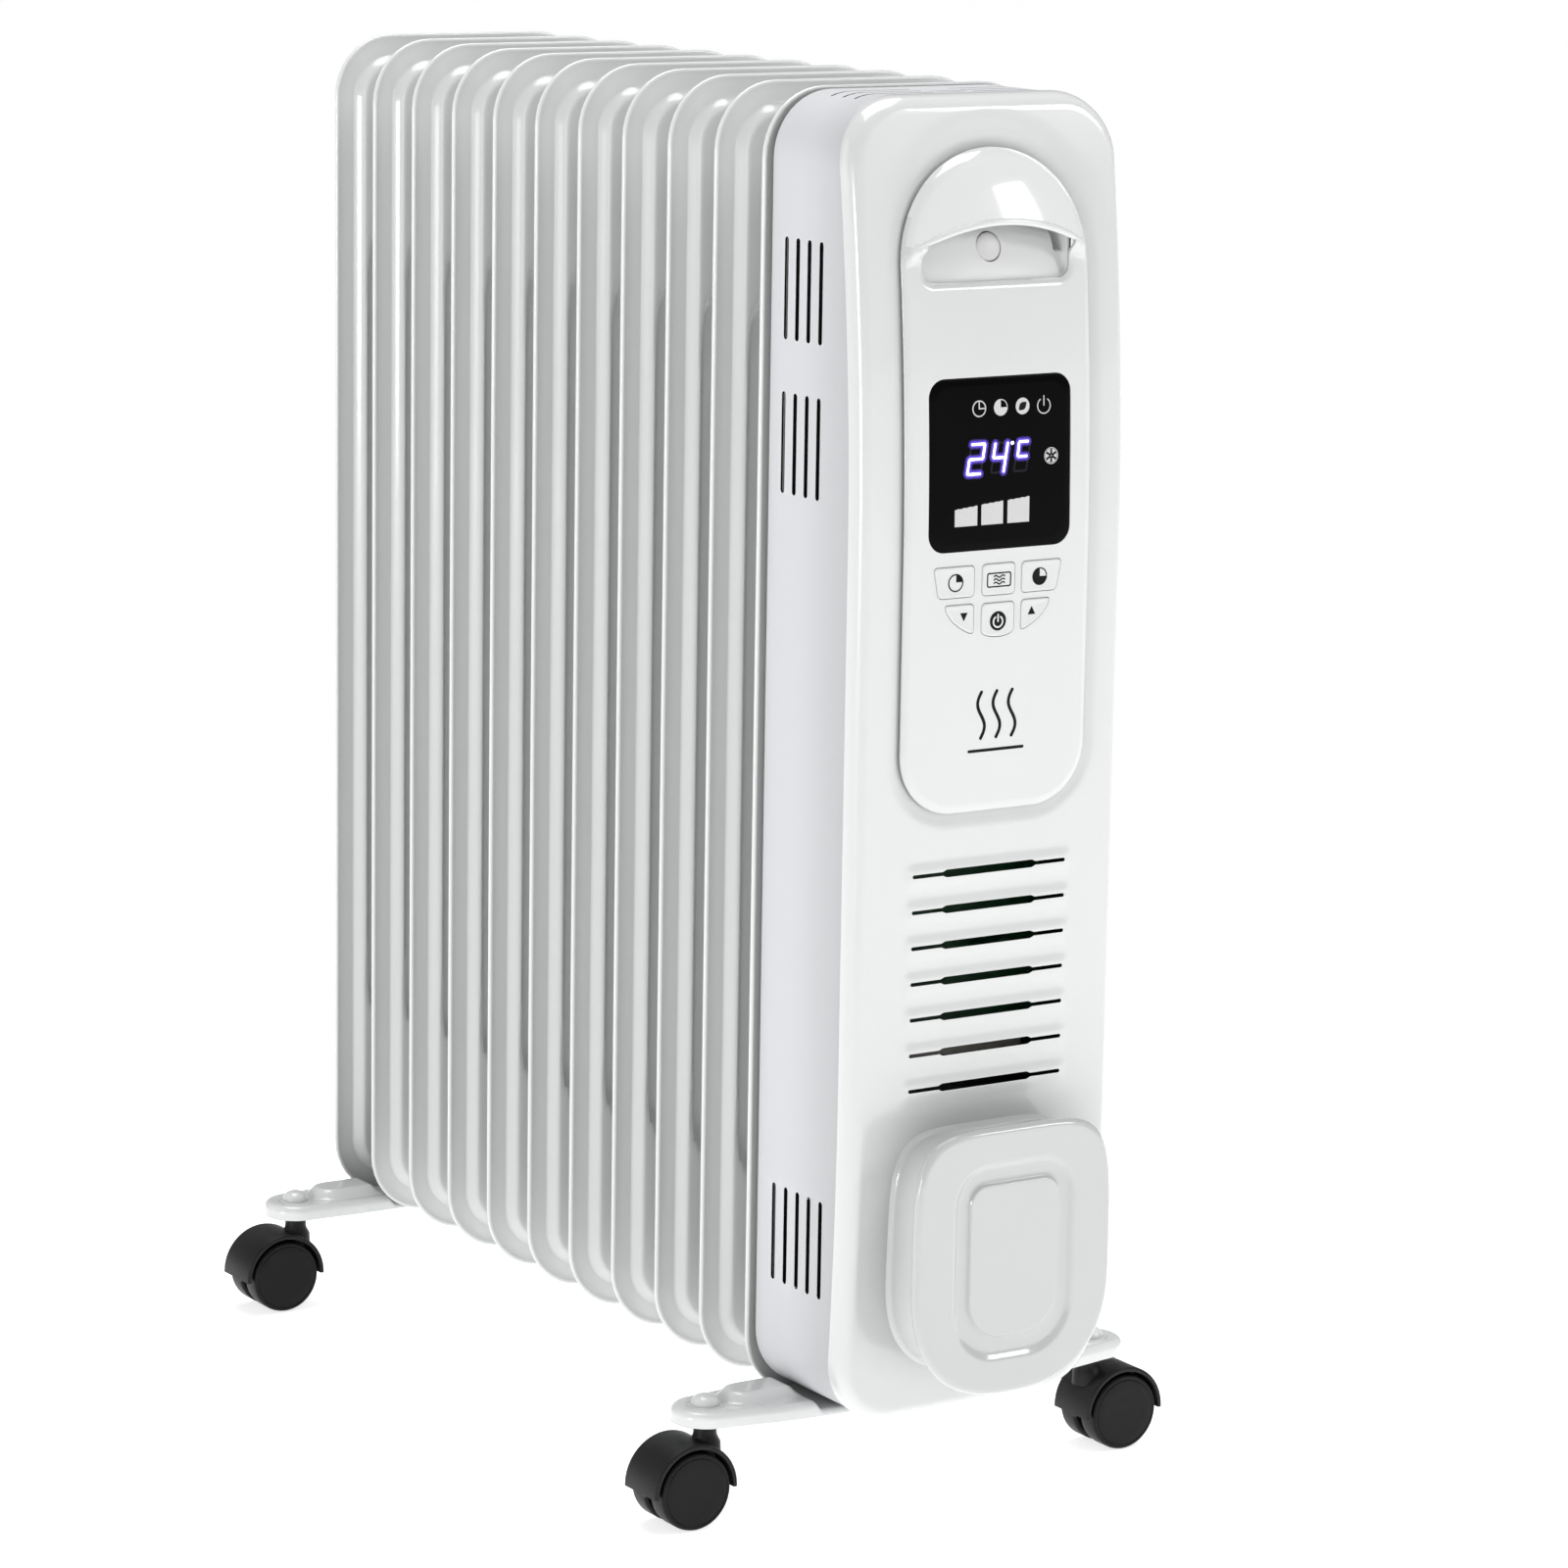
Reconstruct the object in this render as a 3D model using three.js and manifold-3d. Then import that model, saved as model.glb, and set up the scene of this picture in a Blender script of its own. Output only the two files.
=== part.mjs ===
// Oil filled radiator heater on castors: eleven pressed steel fins in a row, a control box on the
// front fin, and two foot brackets that carry four twin wheel castors.
// Millimetres. +Z is up, +X is the right-hand side seen from the front, and the front faces -Y.
// The origin is on the floor, below the middle of the whole heater.
import * as THREE from "three";
import { mergeVertices } from "three/addons/utils/BufferGeometryUtils.js";
import Module from "manifold-3d";

const wasm = await Module();
wasm.setup();

// ---------------------------------------------------------------- driving dimensions
const GAP = 0.3; // clearance between pieces that touch

const FIN = {
  count: 11,
  pitch: 38.5,
  front: -145, // middle plane of the front fin
  width: 142,
  height: 580,
  bottom: 44.5,
  corner: 30,
  flange: 1.8, // welded rim, both sheets together
  rim: 10, // width of the flat rim
  shoulder: 4, // width of the slope up to the oil channels
  channel: 5.5, // half thickness over the oil channels
  webInset: 16, // from the edge of the fin to the pressed web
  webEnd: 92, // from the top or bottom of the fin to the pressed web
  webDepth: 3.2,
  spine: 7, // half width of the middle oil channel
};
const HUB = { radius: 22, bore: 15, inset: 45, stub: 31, endStub: 8.5 };
const HUB_CAP = { lip: 3, thick: 4, spigot: 8 };
const FILLER_PLUG = { radius: 6, thick: 1.5 };
const ELEMENT = { flange: 1, thick: 9, spigot: 10, legX: 7, leg: 3.6, bend: 3.4, pin: 1.8, pinOut: 10 };

const BOX = {
  width: 138,
  bottom: 49,
  top: 624,
  corner: 29,
  rear: -149,
  seam: -213, // where the side shell meets the front cover
  front: -223,
  edge: 9, // rounding of the front edge
  wall: 2.2,
};
// The front leans back above one height and below another, along two shallow arcs.
const LEAN = { upper: 430, upperRate: 4.2e-4, lower: 200, lowerRate: 2.7e-4 };

// Air slots in the side shell: upright ones in both sides, and short ones in rows on the top.
const SIDE_SLOT = { width: 2.3, length: 44, pitch: 9.3 };
const SIDE_SLOTS = [
  { bottom: 518.5, count: 4, first: -160.8 },
  { bottom: 452.5, count: 4, first: -160.2 },
  { bottom: 103.8, count: 5, first: -163.2 },
];
const TOP_SLOT = { x: 30, half: 20, rows: [-165, -174, -183], width: 2 };

const FASCIA = { half: 49, bottom: 319, domeZ: 553, corner: 27, proud: 2.5, thick: 2.2, bevel: 2.5 };
const DOME = { bulge: 9, tilt: -0.12, lipMiddle: 571, lipDrop: 12, lipHalf: 46 };
const POCKET = { half: 41, bottom: 546, radius: 44.5, wall: 2, eyeZ: 560, eye: 6.25, rim: 2.5 };
const DISPLAY = { width: 73, bottom: 432.5, top: 506, corner: 8 };
const KEY = { proud: 0.6, gap: 0.4, travel: 1, depth: 4.6 };
const BAY = { half: 37.5, bottom: 388, top: 511, corner: 6 }; // hole in the cover for the display board
const LOUVRE = { count: 7, top: 293, pitch: 15.8, width: 79, height: 2.6 };
const WINDER = {
  half: 51.5,
  bottom: 64.5,
  top: 184.5,
  front: -250,
  thick: 5,
  lip: 5.5, // how far the plate stands out beyond its core
  middle: 118, // height of its widest point and of its screw
  upperPower: 0.4, // how square the upper half is: 1 is an ellipse
  lowerPower: 0.8,
};
const RING = { half: 31, bottom: 81.5, top: 168, corner: 22, width: 8, depth: 1.6 };
const SCREW = { shank: 2.1, head: 4, hole: 2.4, bite: 12, headThick: 3 };
const FOOT = {
  stem: 103.5,
  end: 15.5,
  waist: 17.8,
  flare: 24,
  shoulder: 70, // where the flare ends
  neck: 26, // where the flare starts
  bottom: 45.5,
  top: 52.5,
  middleTop: 48.4, // pressed lower where it passes below the box
  middleHalf: 57,
  sheet: 1.6,
};
const RIB = { near: 61, far: 95.5, half: 11, corner: 9, top: 57.1 };
const CASTOR = {
  wheel: 17.5,
  trail: 12,
  hood: 21.2,
  hoodWall: 2.2,
  half: 13,
  web: 1.8,
  axle: 2.4,
  stub: 11,
  hub: 7,
  collar: 5.2,
};
const RIVET = { head: 6.4, flat: 0.62, pin: 4, bottom: 36.5, hole: 4.4 };
const BOLT = { leg: 26.5, radius: 2.5, nut: 4.6, bottom: 40.5 };
const WING = { tall: 5.5, half: 11.5, thick: 1.1 };
const GLAND = { x: 40, y: -196, radius: 5.5, lip: 1.5, thick: 1.5, reach: 8, bore: 3.4 };

// Pieces inside the control box.
const SHIELD = { half: 64, bottom: 60, top: 617, corner: 24, front: -159, back: -158 };
const KEY_MAT = { half: 34, bottom: 392, top: 428, thick: 1.5 };
const DISPLAY_BOARD = { half: 36, bottom: 390, top: 508, thick: 1.6 };
const DIGITS = { half: 24, bottom: 448, top: 490 };
const BOARD = { half: 50, bottom: 215, top: 375, front: -190.6, back: -189 };
const RELAYS = { xs: [-30, 0, 30], half: 9, front: -206, bottom: 340, top: 362 };
const SUPPLY = { left: -42, right: -10, front: -208, bottom: 235, top: 262 };
const CAPACITOR = { x: 20, z: 250, radius: 7, front: -207 };
const BRACKET = { heights: [207, 383], half: 40, post: 6, bar: 3.5, front: -194, back: -188.4, foot: -159.5 };
const CUT_OUT = { above: 42, disc: 8.5, front: -169, back: -162, plate: 15, tabs: [-4, 2] };
const SWITCH = { left: -52, right: -30, front: -204, back: -176, bottom: 96, lid: 128, top: 131 };

// ---------------------------------------------------------------- materials
const plastic = (color, roughness) =>
  new THREE.MeshStandardMaterial({ color, roughness, metalness: 0 });
const metal = (color, roughness) =>
  new THREE.MeshStandardMaterial({ color, roughness, metalness: 1 });
const paintedSteel = () => plastic(0xd9dbda, 0.35);
const glossWhite = () => plastic(0xe6e8e7, 0.15);
const mattWhite = () => plastic(0xdcdce0, 0.5);
const blackNylon = () => plastic(0x1c1c1d, 0.55);
const zincSteel = () => metal(0xb9bcc0, 0.35);

// ---------------------------------------------------------------- solids
function solid(geometry) {
  const bare = new THREE.BufferGeometry();
  const source = geometry.index ? geometry.toNonIndexed() : geometry;
  bare.setAttribute("position", source.getAttribute("position"));
  const merged = mergeVertices(bare, 1e-4);
  const vertProperties = new Float32Array(merged.attributes.position.array);
  const triVerts = new Uint32Array(merged.index.array);
  return new wasm.Manifold(new wasm.Mesh({ numProp: 3, vertProperties, triVerts }));
}

function geometryOf(body) {
  const { vertProperties, triVerts } = body.getMesh();
  const geometry = new THREE.BufferGeometry();
  geometry.setAttribute("position", new THREE.BufferAttribute(new Float32Array(vertProperties), 3));
  geometry.setIndex(new THREE.BufferAttribute(new Uint32Array(triVerts), 1));
  geometry.computeVertexNormals();
  return geometry;
}

const joined = (...bodies) => bodies.reduce((all, body) => all.add(body));
const cut = (body, ...tools) => tools.reduce((rest, tool) => rest.subtract(tool), body);

// A shape drawn in X and Z, extruded along Y from front to back.
function prismY(shape, front, back, curveSegments = 2) {
  const options = { depth: back - front, bevelEnabled: false, curveSegments };
  const geometry = new THREE.ExtrudeGeometry(shape, options);
  return solid(geometry.rotateX(Math.PI / 2).translate(0, back, 0));
}

// A shape drawn in X and Y, extruded up Z.
function prismZ(shape, bottom, top, curveSegments = 2) {
  const options = { depth: top - bottom, bevelEnabled: false, curveSegments };
  return solid(new THREE.ExtrudeGeometry(shape, options).translate(0, 0, bottom));
}

// A shape drawn in Y and Z, extruded along X.
function prismX(shape, left, right, curveSegments = 2) {
  const options = { depth: right - left, bevelEnabled: false, curveSegments };
  const axes = new THREE.Matrix4().makeBasis(
    new THREE.Vector3(0, 1, 0),
    new THREE.Vector3(0, 0, 1),
    new THREE.Vector3(1, 0, 0),
  );
  return solid(new THREE.ExtrudeGeometry(shape, options).applyMatrix4(axes).translate(left, 0, 0));
}

function block(x0, x1, y0, y1, z0, z1) {
  const geometry = new THREE.BoxGeometry(x1 - x0, y1 - y0, z1 - z0);
  return solid(geometry.translate((x0 + x1) / 2, (y0 + y1) / 2, (z0 + z1) / 2));
}

function rodY(radius, front, back, x, z, sides = 12) {
  const geometry = new THREE.CylinderGeometry(radius, radius, back - front, sides);
  return solid(geometry.translate(x, (front + back) / 2, z));
}

function rodZ(radius, bottom, top, x, y, sides = 12) {
  const geometry = new THREE.CylinderGeometry(radius, radius, top - bottom, sides);
  return solid(geometry.rotateX(Math.PI / 2).translate(x, y, (bottom + top) / 2));
}

// A skin over rings of equal point counts, closed by a fan at each end.
function loft(rings) {
  const points = rings.flat();
  const count = rings[0].length;
  const faces = [];
  for (let ring = 0; ring + 1 < rings.length; ring++) {
    for (let i = 0; i < count; i++) {
      const a = ring * count + i;
      const b = ring * count + ((i + 1) % count);
      faces.push([a, b, b + count], [a, b + count, a + count]);
    }
  }
  const last = (rings.length - 1) * count;
  for (let i = 1; i + 1 < count; i++) {
    faces.push([0, i + 1, i], [last, last + i, last + i + 1]);
  }
  const [p, q, r] = [new THREE.Vector3(), new THREE.Vector3(), new THREE.Vector3()];
  const volume = faces.reduce((sum, [a, b, c]) => {
    return sum + p.copy(points[a]).dot(q.copy(points[b]).cross(r.copy(points[c])));
  }, 0);
  const geometry = new THREE.BufferGeometry().setFromPoints(points);
  geometry.setIndex((volume < 0 ? faces.map(([a, b, c]) => [a, c, b]) : faces).flat());
  return solid(geometry);
}

// ---------------------------------------------------------------- outlines
function roundedRect(left, right, bottom, top, radius) {
  const shape = new THREE.Shape();
  shape.moveTo(left + radius, bottom);
  shape.lineTo(right - radius, bottom);
  shape.absarc(right - radius, bottom + radius, radius, -Math.PI / 2, 0);
  shape.lineTo(right, top - radius);
  shape.absarc(right - radius, top - radius, radius, 0, Math.PI / 2);
  shape.lineTo(left + radius, top);
  shape.absarc(left + radius, top - radius, radius, Math.PI / 2, Math.PI);
  shape.lineTo(left, bottom + radius);
  shape.absarc(left + radius, bottom + radius, radius, Math.PI, Math.PI * 1.5);
  return shape;
}

const polygon = (points) => new THREE.Shape(points.map(([x, y]) => new THREE.Vector2(x, y)));

// ---------------------------------------------------------------- the group
const heater = new THREE.Group();
heater.name = "oil_filled_radiator";

function part(name, body, material) {
  const mesh = new THREE.Mesh(geometryOf(body), material);
  mesh.name = name;
  heater.add(mesh);
  return mesh;
}

const pad = (number) => String(number).padStart(2, "0");

// ---------------------------------------------------------------- fins
const finTop = FIN.bottom + FIN.height;
const hubHeights = [FIN.bottom + HUB.inset, finTop - HUB.inset];
const finPlane = (index) => FIN.front + index * FIN.pitch;

// One fin about its own middle plane, with its hub stubs reaching the given distances.
function finBody(frontStub, backStub, borePasses) {
  const half = FIN.width / 2;
  const inner = FIN.rim + FIN.shoulder;
  const ring = (inset, radius, y) => {
    const [low, high] = [FIN.bottom + inset, finTop - inset];
    const points = roundedRect(-half + inset, half - inset, low, high, radius).getPoints(2);
    return points.slice(0, -1).map((at) => new THREE.Vector3(at.x, y, at.y));
  };
  const sheet = FIN.flange / 2;
  const pressing = loft([
    ring(inner, 16, -FIN.channel),
    ring(FIN.rim, 20, -sheet),
    ring(0, FIN.corner, -sheet),
    ring(0, FIN.corner, sheet),
    ring(FIN.rim, 20, sheet),
    ring(inner, 16, FIN.channel),
  ]);
  const webs = [];
  for (const side of [-1, 1]) {
    const near = side * FIN.spine;
    const far = side * (half - FIN.webInset);
    const [left, right] = side < 0 ? [far, near] : [near, far];
    const web = roundedRect(left, right, FIN.bottom + FIN.webEnd, finTop - FIN.webEnd, 14);
    const floor = FIN.channel - FIN.webDepth;
    webs.push(prismY(web, -FIN.channel - 1, -floor, 1), prismY(web, floor, FIN.channel + 1, 1));
  }
  let body = cut(pressing, ...webs);
  for (const z of hubHeights) body = body.add(rodY(HUB.radius, -frontStub, backStub, 0, z, 12));
  for (const z of hubHeights) {
    const back = borePasses ? backStub + 1 : backStub - 2;
    body = body.subtract(rodY(HUB.bore, -frontStub - 1, back, 0, z, 8));
  }
  return body;
}

const half = (FIN.pitch - GAP) / 2;
for (let index = 0; index < FIN.count; index++) {
  const first = index === 0;
  const last = index === FIN.count - 1;
  const body = finBody(first ? HUB.stub : half, last ? HUB.endStub : half, !last);
  const mesh = part(`fin_${pad(index + 1)}`, body, paintedSteel());
  mesh.position.y = finPlane(index);
}

// The plug that closes the oil filling hole, at the back of the last fin's upper hub.
const rearFace = finPlane(FIN.count - 1) + HUB.endStub;
part(
  "oil_filler_plug",
  rodY(FILLER_PLUG.radius, rearFace + GAP, rearFace + FILLER_PLUG.thick, 0, hubHeights[1], 6),
  zincSteel(),
);
// The cap that closes the front of the upper hub, inside the control box.
const hubFront = FIN.front - HUB.stub;
part(
  "upper_hub_cap",
  joined(
    rodY(HUB.radius - HUB_CAP.lip, hubFront - HUB_CAP.thick, hubFront - GAP, 0, hubHeights[1], 14),
    rodY(HUB.bore - 1, hubFront - HUB_CAP.thick, hubFront + HUB_CAP.spigot, 0, hubHeights[1], 8),
  ),
  zincSteel(),
);

// ---------------------------------------------------------------- heating element
// A hairpin sheathed element screwed into the lower hub; it reaches back through nearly every fin.
{
  const z = hubHeights[0];
  const back = finPlane(FIN.count - 2);
  const front = hubFront - ELEMENT.thick;
  const legX = [-ELEMENT.legX, ELEMENT.legX];
  const wide = ELEMENT.legX + ELEMENT.bend;
  const flange = rodY(HUB.radius + ELEMENT.flange, front, hubFront - GAP, 0, z, 6);
  const spigot = rodY(HUB.bore - 1, front, hubFront + ELEMENT.spigot, 0, z, 8);
  const legs = legX.map((x) => rodY(ELEMENT.leg, hubFront, back, x, z, 8));
  const bend = block(-wide, wide, back - 6, back, z - ELEMENT.bend, z + ELEMENT.bend);
  const pins = legX.map((x) => rodY(ELEMENT.pin, front - ELEMENT.pinOut, front + 1, x, z, 6));
  part("heating_element", joined(flange, spigot, ...legs, bend, ...pins), metal(0xb0904a, 0.4));
}

// ---------------------------------------------------------------- control box
const lean = (z) => {
  const up = Math.max(0, z - LEAN.upper);
  const down = Math.max(0, LEAN.lower - z);
  return LEAN.upperRate * up * up + LEAN.lowerRate * down * down;
};

// Heights at which every leaning piece bends, so that neighbours stay parallel.
const BENDS = [110, 150, 200, 430, 475, 515, 553];
const ARC_STEPS = [0, 1, 2, 3, 4].map((step) => BOX.corner * (1 - Math.cos((Math.PI / 8) * step)));

function levels(bottom, top) {
  const low = ARC_STEPS.map((step) => bottom + step);
  const high = ARC_STEPS.map((step) => top - step).reverse();
  const middle = BENDS.filter((z) => z > low.at(-1) + 2 && z < high[0] - 2);
  return [...low, ...middle, ...high];
}

// The outer form of the control box, or with an inset the room inside its walls.
function boxForm(inset, rear) {
  const top = BOX.top - inset;
  const bottom = BOX.bottom + inset;
  const corner = BOX.corner - inset;
  const edge = BOX.edge - inset;
  const arc = (radius, depth) => {
    const short = Math.max(0, radius - depth);
    return radius - Math.sqrt(radius * radius - short * short);
  };
  const rings = levels(bottom, top).map((z) => {
    const depth = Math.min(z - bottom, top - z);
    const side = BOX.width / 2 - inset - arc(corner, depth);
    const face = BOX.front + inset + lean(z) + arc(edge, depth);
    const ring = [new THREE.Vector3(-side, rear, z)];
    for (let i = 0; i <= 4; i++) {
      const a = (Math.PI / 2) * (i / 4);
      const x = -side + edge - edge * Math.cos(a);
      ring.push(new THREE.Vector3(x, face + edge - edge * Math.sin(a), z));
    }
    for (let i = 4; i >= 0; i--) ring.push(new THREE.Vector3(-ring[i + 1].x, ring[i + 1].y, z));
    ring.push(new THREE.Vector3(side, rear, z));
    return ring;
  });
  return loft(rings);
}

// Everything between two leaning faces, given by their depths where the box stands upright.
function slab(front, back) {
  const rings = [BOX.bottom - 20, ...levels(BOX.bottom, BOX.top), BOX.top + 20].map((z) => [
    new THREE.Vector3(-200, front + lean(z), z),
    new THREE.Vector3(200, front + lean(z), z),
    new THREE.Vector3(200, back + lean(z), z),
    new THREE.Vector3(-200, back + lean(z), z),
  ]);
  return loft(rings);
}

const FAR = 400;

// A shape drawn in X and Z, as a tool that passes through the whole front of the box.
const through = (shape, curveSegments = 2) => prismY(shape, BOX.front - 40, BOX.front + 40, curveSegments);

const walls = boxForm(0, BOX.rear).subtract(boxForm(BOX.wall, BOX.rear + 20));

// Side shell: the painted wrap between the front fin and the front cover.
function sideShell() {
  const body = walls.intersect(slab(BOX.seam + GAP / 2, FAR));
  const tools = [];
  const slot = (x0, x1, y, width, z0, z1) => block(x0, x1, y - width / 2, y + width / 2, z0, z1);
  for (const { bottom, count, first } of SIDE_SLOTS) {
    for (let i = 0; i < count; i++) {
      const y = first - i * SIDE_SLOT.pitch;
      tools.push(slot(-BOX.width, BOX.width, y, SIDE_SLOT.width, bottom, bottom + SIDE_SLOT.length));
    }
  }
  for (const x of [-TOP_SLOT.x, TOP_SLOT.x]) {
    for (const y of TOP_SLOT.rows) {
      const [left, right] = [x - TOP_SLOT.half, x + TOP_SLOT.half];
      tools.push(slot(left, right, y, TOP_SLOT.width, BOX.top - 20, BOX.top + 20));
    }
  }
  const floorHole = (radius, x, y, sides) => rodZ(radius, BOX.bottom - 9, BOX.bottom + 9, x, y, sides);
  for (const x of [-BOLT.leg, BOLT.leg]) tools.push(floorHole(BOLT.radius + 1, x, footFront, 8));
  tools.push(floorHole(GLAND.radius + GAP, GLAND.x, GLAND.y, 12));
  return cut(body, ...tools);
}

// ---------------------------------------------------------------- cord winder
// The winder's outline: nearly straight sides, tight upper corners and a deep round foot.
function winderOutline(offset, steps = 6) {
  const { half: wide, bottom, top, middle, upperPower, lowerPower } = WINDER;
  const ring = [];
  for (let i = 0; i < 4 * steps; i++) {
    const a = (Math.PI / 2) * (i / steps);
    const [c, s] = [Math.cos(a), Math.sin(a)];
    const power = s > 0 ? upperPower : lowerPower;
    const tall = s > 0 ? top - middle : middle - bottom;
    const x = (wide + offset) * Math.sign(c) * Math.abs(c) ** power;
    const z = middle + (tall + offset) * Math.sign(s) * Math.abs(s) ** power;
    ring.push([x, z]);
  }
  return ring;
}

const winderLayer = (offset, y) => winderOutline(offset).map(([x, z]) => new THREE.Vector3(x, y, z));

// ---------------------------------------------------------------- front cover
// Opening in the cover behind the handle, wide enough for the finger pocket.
function pocketOutline(radius, side, bottom) {
  const shape = new THREE.Shape();
  const start = Math.asin(Math.min(1, (560 - FASCIA.domeZ) / radius));
  shape.moveTo(-side, bottom);
  shape.lineTo(side, bottom);
  shape.lineTo(side, 560);
  shape.absarc(0, FASCIA.domeZ, radius, start, Math.PI - start);
  shape.lineTo(-side, 560);
  return shape;
}

function frontCover() {
  const { rim } = POCKET;
  const mouth = pocketOutline(POCKET.radius + 1.5, POCKET.half + rim, POCKET.bottom - rim - GAP);
  const tools = [
    through(roundedRect(-BAY.half, BAY.half, BAY.bottom, BAY.top, BAY.corner), 1),
    through(mouth, 4),
    rodY(SCREW.hole, BOX.front - 9, BOX.front + 9, 0, WINDER.middle, 8),
  ];
  for (let i = 0; i < LOUVRE.count; i++) {
    const z = LOUVRE.top - i * LOUVRE.pitch;
    const [low, high] = [z - LOUVRE.height / 2, z + LOUVRE.height / 2];
    tools.push(block(-LOUVRE.width / 2, LOUVRE.width / 2, BOX.front - 9, BOX.front + 9, low, high));
  }
  return cut(walls.intersect(slab(-FAR, BOX.seam - GAP / 2)), ...tools);
}

// ---------------------------------------------------------------- control fascia and its handle
// A tall plate with a round top, standing proud of the cover.
function fasciaOutline(inset) {
  const side = FASCIA.half - inset;
  const radius = FASCIA.corner - inset;
  const bottom = FASCIA.bottom + inset;
  const shape = new THREE.Shape();
  shape.moveTo(-side + radius, bottom);
  shape.lineTo(side - radius, bottom);
  shape.absarc(side - radius, bottom + radius, radius, -Math.PI / 2, 0);
  shape.absarc(0, FASCIA.domeZ, side, 0, Math.PI);
  shape.absarc(-side + radius, bottom + radius, radius, Math.PI, Math.PI * 1.5);
  return shape;
}

const lipHeight = (x) => DOME.lipMiddle - DOME.lipDrop * (x / DOME.lipHalf) ** 2;
const keyTop = { low: 412.8, high: 426.2 };
const keyLow = { low: 397, high: 409.5 };
// Each key's outline: left and right ones mirror each other.
const KEYS = {
  key_timer_on: [[-33.5, keyTop.high], [-30.9, keyTop.low], [-12.6, keyTop.low], [-12.6, keyTop.high]],
  key_heat_mode: [[-8.5, keyTop.low], [8.5, keyTop.low], [8.5, keyTop.high], [-8.5, keyTop.high]],
  key_timer_off: [[33.5, keyTop.high], [12.6, keyTop.high], [12.6, keyTop.low], [30.9, keyTop.low]],
  key_down: [[-27.5, keyLow.high], [-25.4, 405], [-20.5, 400], [-15, 397.2], [-12.6, 397], [-12.6, 409.5]],
  key_power: [[-8.5, keyLow.high], [-8.5, 396], [-3, 394.6], [3, 394.6], [8.5, 396], [8.5, keyLow.high]],
  key_up: [[27.5, keyLow.high], [12.6, 409.5], [12.6, 397], [15, 397.2], [20.5, 400], [25.4, 405]],
};

// The same outline grown outwards by a margin, corner by corner from its middle.
function grown(points, margin) {
  const xs = points.map(([x]) => x);
  const zs = points.map(([, z]) => z);
  const middle = (list) => (Math.min(...list) + Math.max(...list)) / 2;
  const reach = (list) => (Math.max(...list) - Math.min(...list)) / 2;
  const [mx, mz] = [middle(xs), middle(zs)];
  const [sx, sz] = [1 + margin / reach(xs), 1 + margin / reach(zs)];
  return points.map(([x, z]) => [mx + (x - mx) * sx, mz + (z - mz) * sz]);
}

const fasciaBack = BOX.front - GAP;
const fasciaFront = BOX.front - FASCIA.proud;

function controlFascia() {
  const lower = through(fasciaOutline(0), 6).intersect(slab(fasciaFront + 1, fasciaBack));
  const upper = through(fasciaOutline(FASCIA.bevel), 6).intersect(slab(fasciaFront, fasciaBack));
  const ball = (radius, bulge) => {
    const geometry = new THREE.SphereGeometry(1, 20, 8).scale(radius, bulge, radius);
    const y = fasciaFront + lean(FASCIA.domeZ) + 1;
    return solid(geometry.rotateX(DOME.tilt).translate(0, y, FASCIA.domeZ));
  };
  const lip = [[-70, 480], [70, 480]];
  for (let i = 0; i <= 8; i++) {
    const x = 50 - i * 12.5;
    lip.push([x, lipHeight(x)]);
  }
  const below = through(polygon(lip));
  const thin = FASCIA.thick;
  const dome = cut(
    ball(FASCIA.half - 0.4, DOME.bulge + 1),
    ball(FASCIA.half - thin - 1, DOME.bulge + 1 - thin),
    below,
  ).intersect(slab(-FAR, fasciaBack));
  const mouth = through(pocketOutline(POCKET.radius, POCKET.half, POCKET.bottom), 4);
  const glass = roundedRect(
    -DISPLAY.width / 2 - GAP,
    DISPLAY.width / 2 + GAP,
    DISPLAY.bottom - GAP,
    DISPLAY.top + GAP,
    DISPLAY.corner + GAP,
  );
  const holes = Object.values(KEYS).map((points) => through(polygon(grown(points, KEY.gap))));
  const plate = cut(joined(lower, upper), mouth, through(glass), ...holes);
  return plate.add(dome);
}

// The finger pocket behind the handle: a thin bowl whose back wall runs up behind the lip.
function pocketBody() {
  const face = (z, depth) => [BOX.front + lean(z) + depth, z];
  const hollow = polygon([
    face(546.4, -8),
    face(546.4, 3),
    face(548.5, 4),
    face(566, 6.5),
    face(572, 11),
    face(578, 19),
    face(598, 19),
    face(598, -8),
  ]);
  const skin = polygon([
    face(543.6, 0.2),
    face(543.6, 5.4),
    face(565, 8.7),
    face(570.4, 13),
    face(576.4, 21.2),
    face(600, 21.2),
    face(600, 0.2),
  ]);
  const outer = POCKET.radius + 0.9;
  const outline = pocketOutline(outer, POCKET.half + POCKET.wall, POCKET.bottom - POCKET.rim);
  const bowl = prismX(skin, -50, 50).intersect(through(outline, 4));
  const room = prismX(hollow, -POCKET.half, POCKET.half).intersect(
    through(pocketOutline(outer - POCKET.wall, POCKET.half, POCKET.bottom - 6), 4),
  );
  const eye = rodY(POCKET.eye + GAP, BOX.front - 9, BOX.front + 30, 0, POCKET.eyeZ, 14);
  return cut(bowl, room, eye);
}

// ---------------------------------------------------------------- feet and castors
const footFront = FIN.front - FIN.pitch / 2;
const footRear = finPlane(FIN.count - 1) - FIN.pitch / 2;

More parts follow.
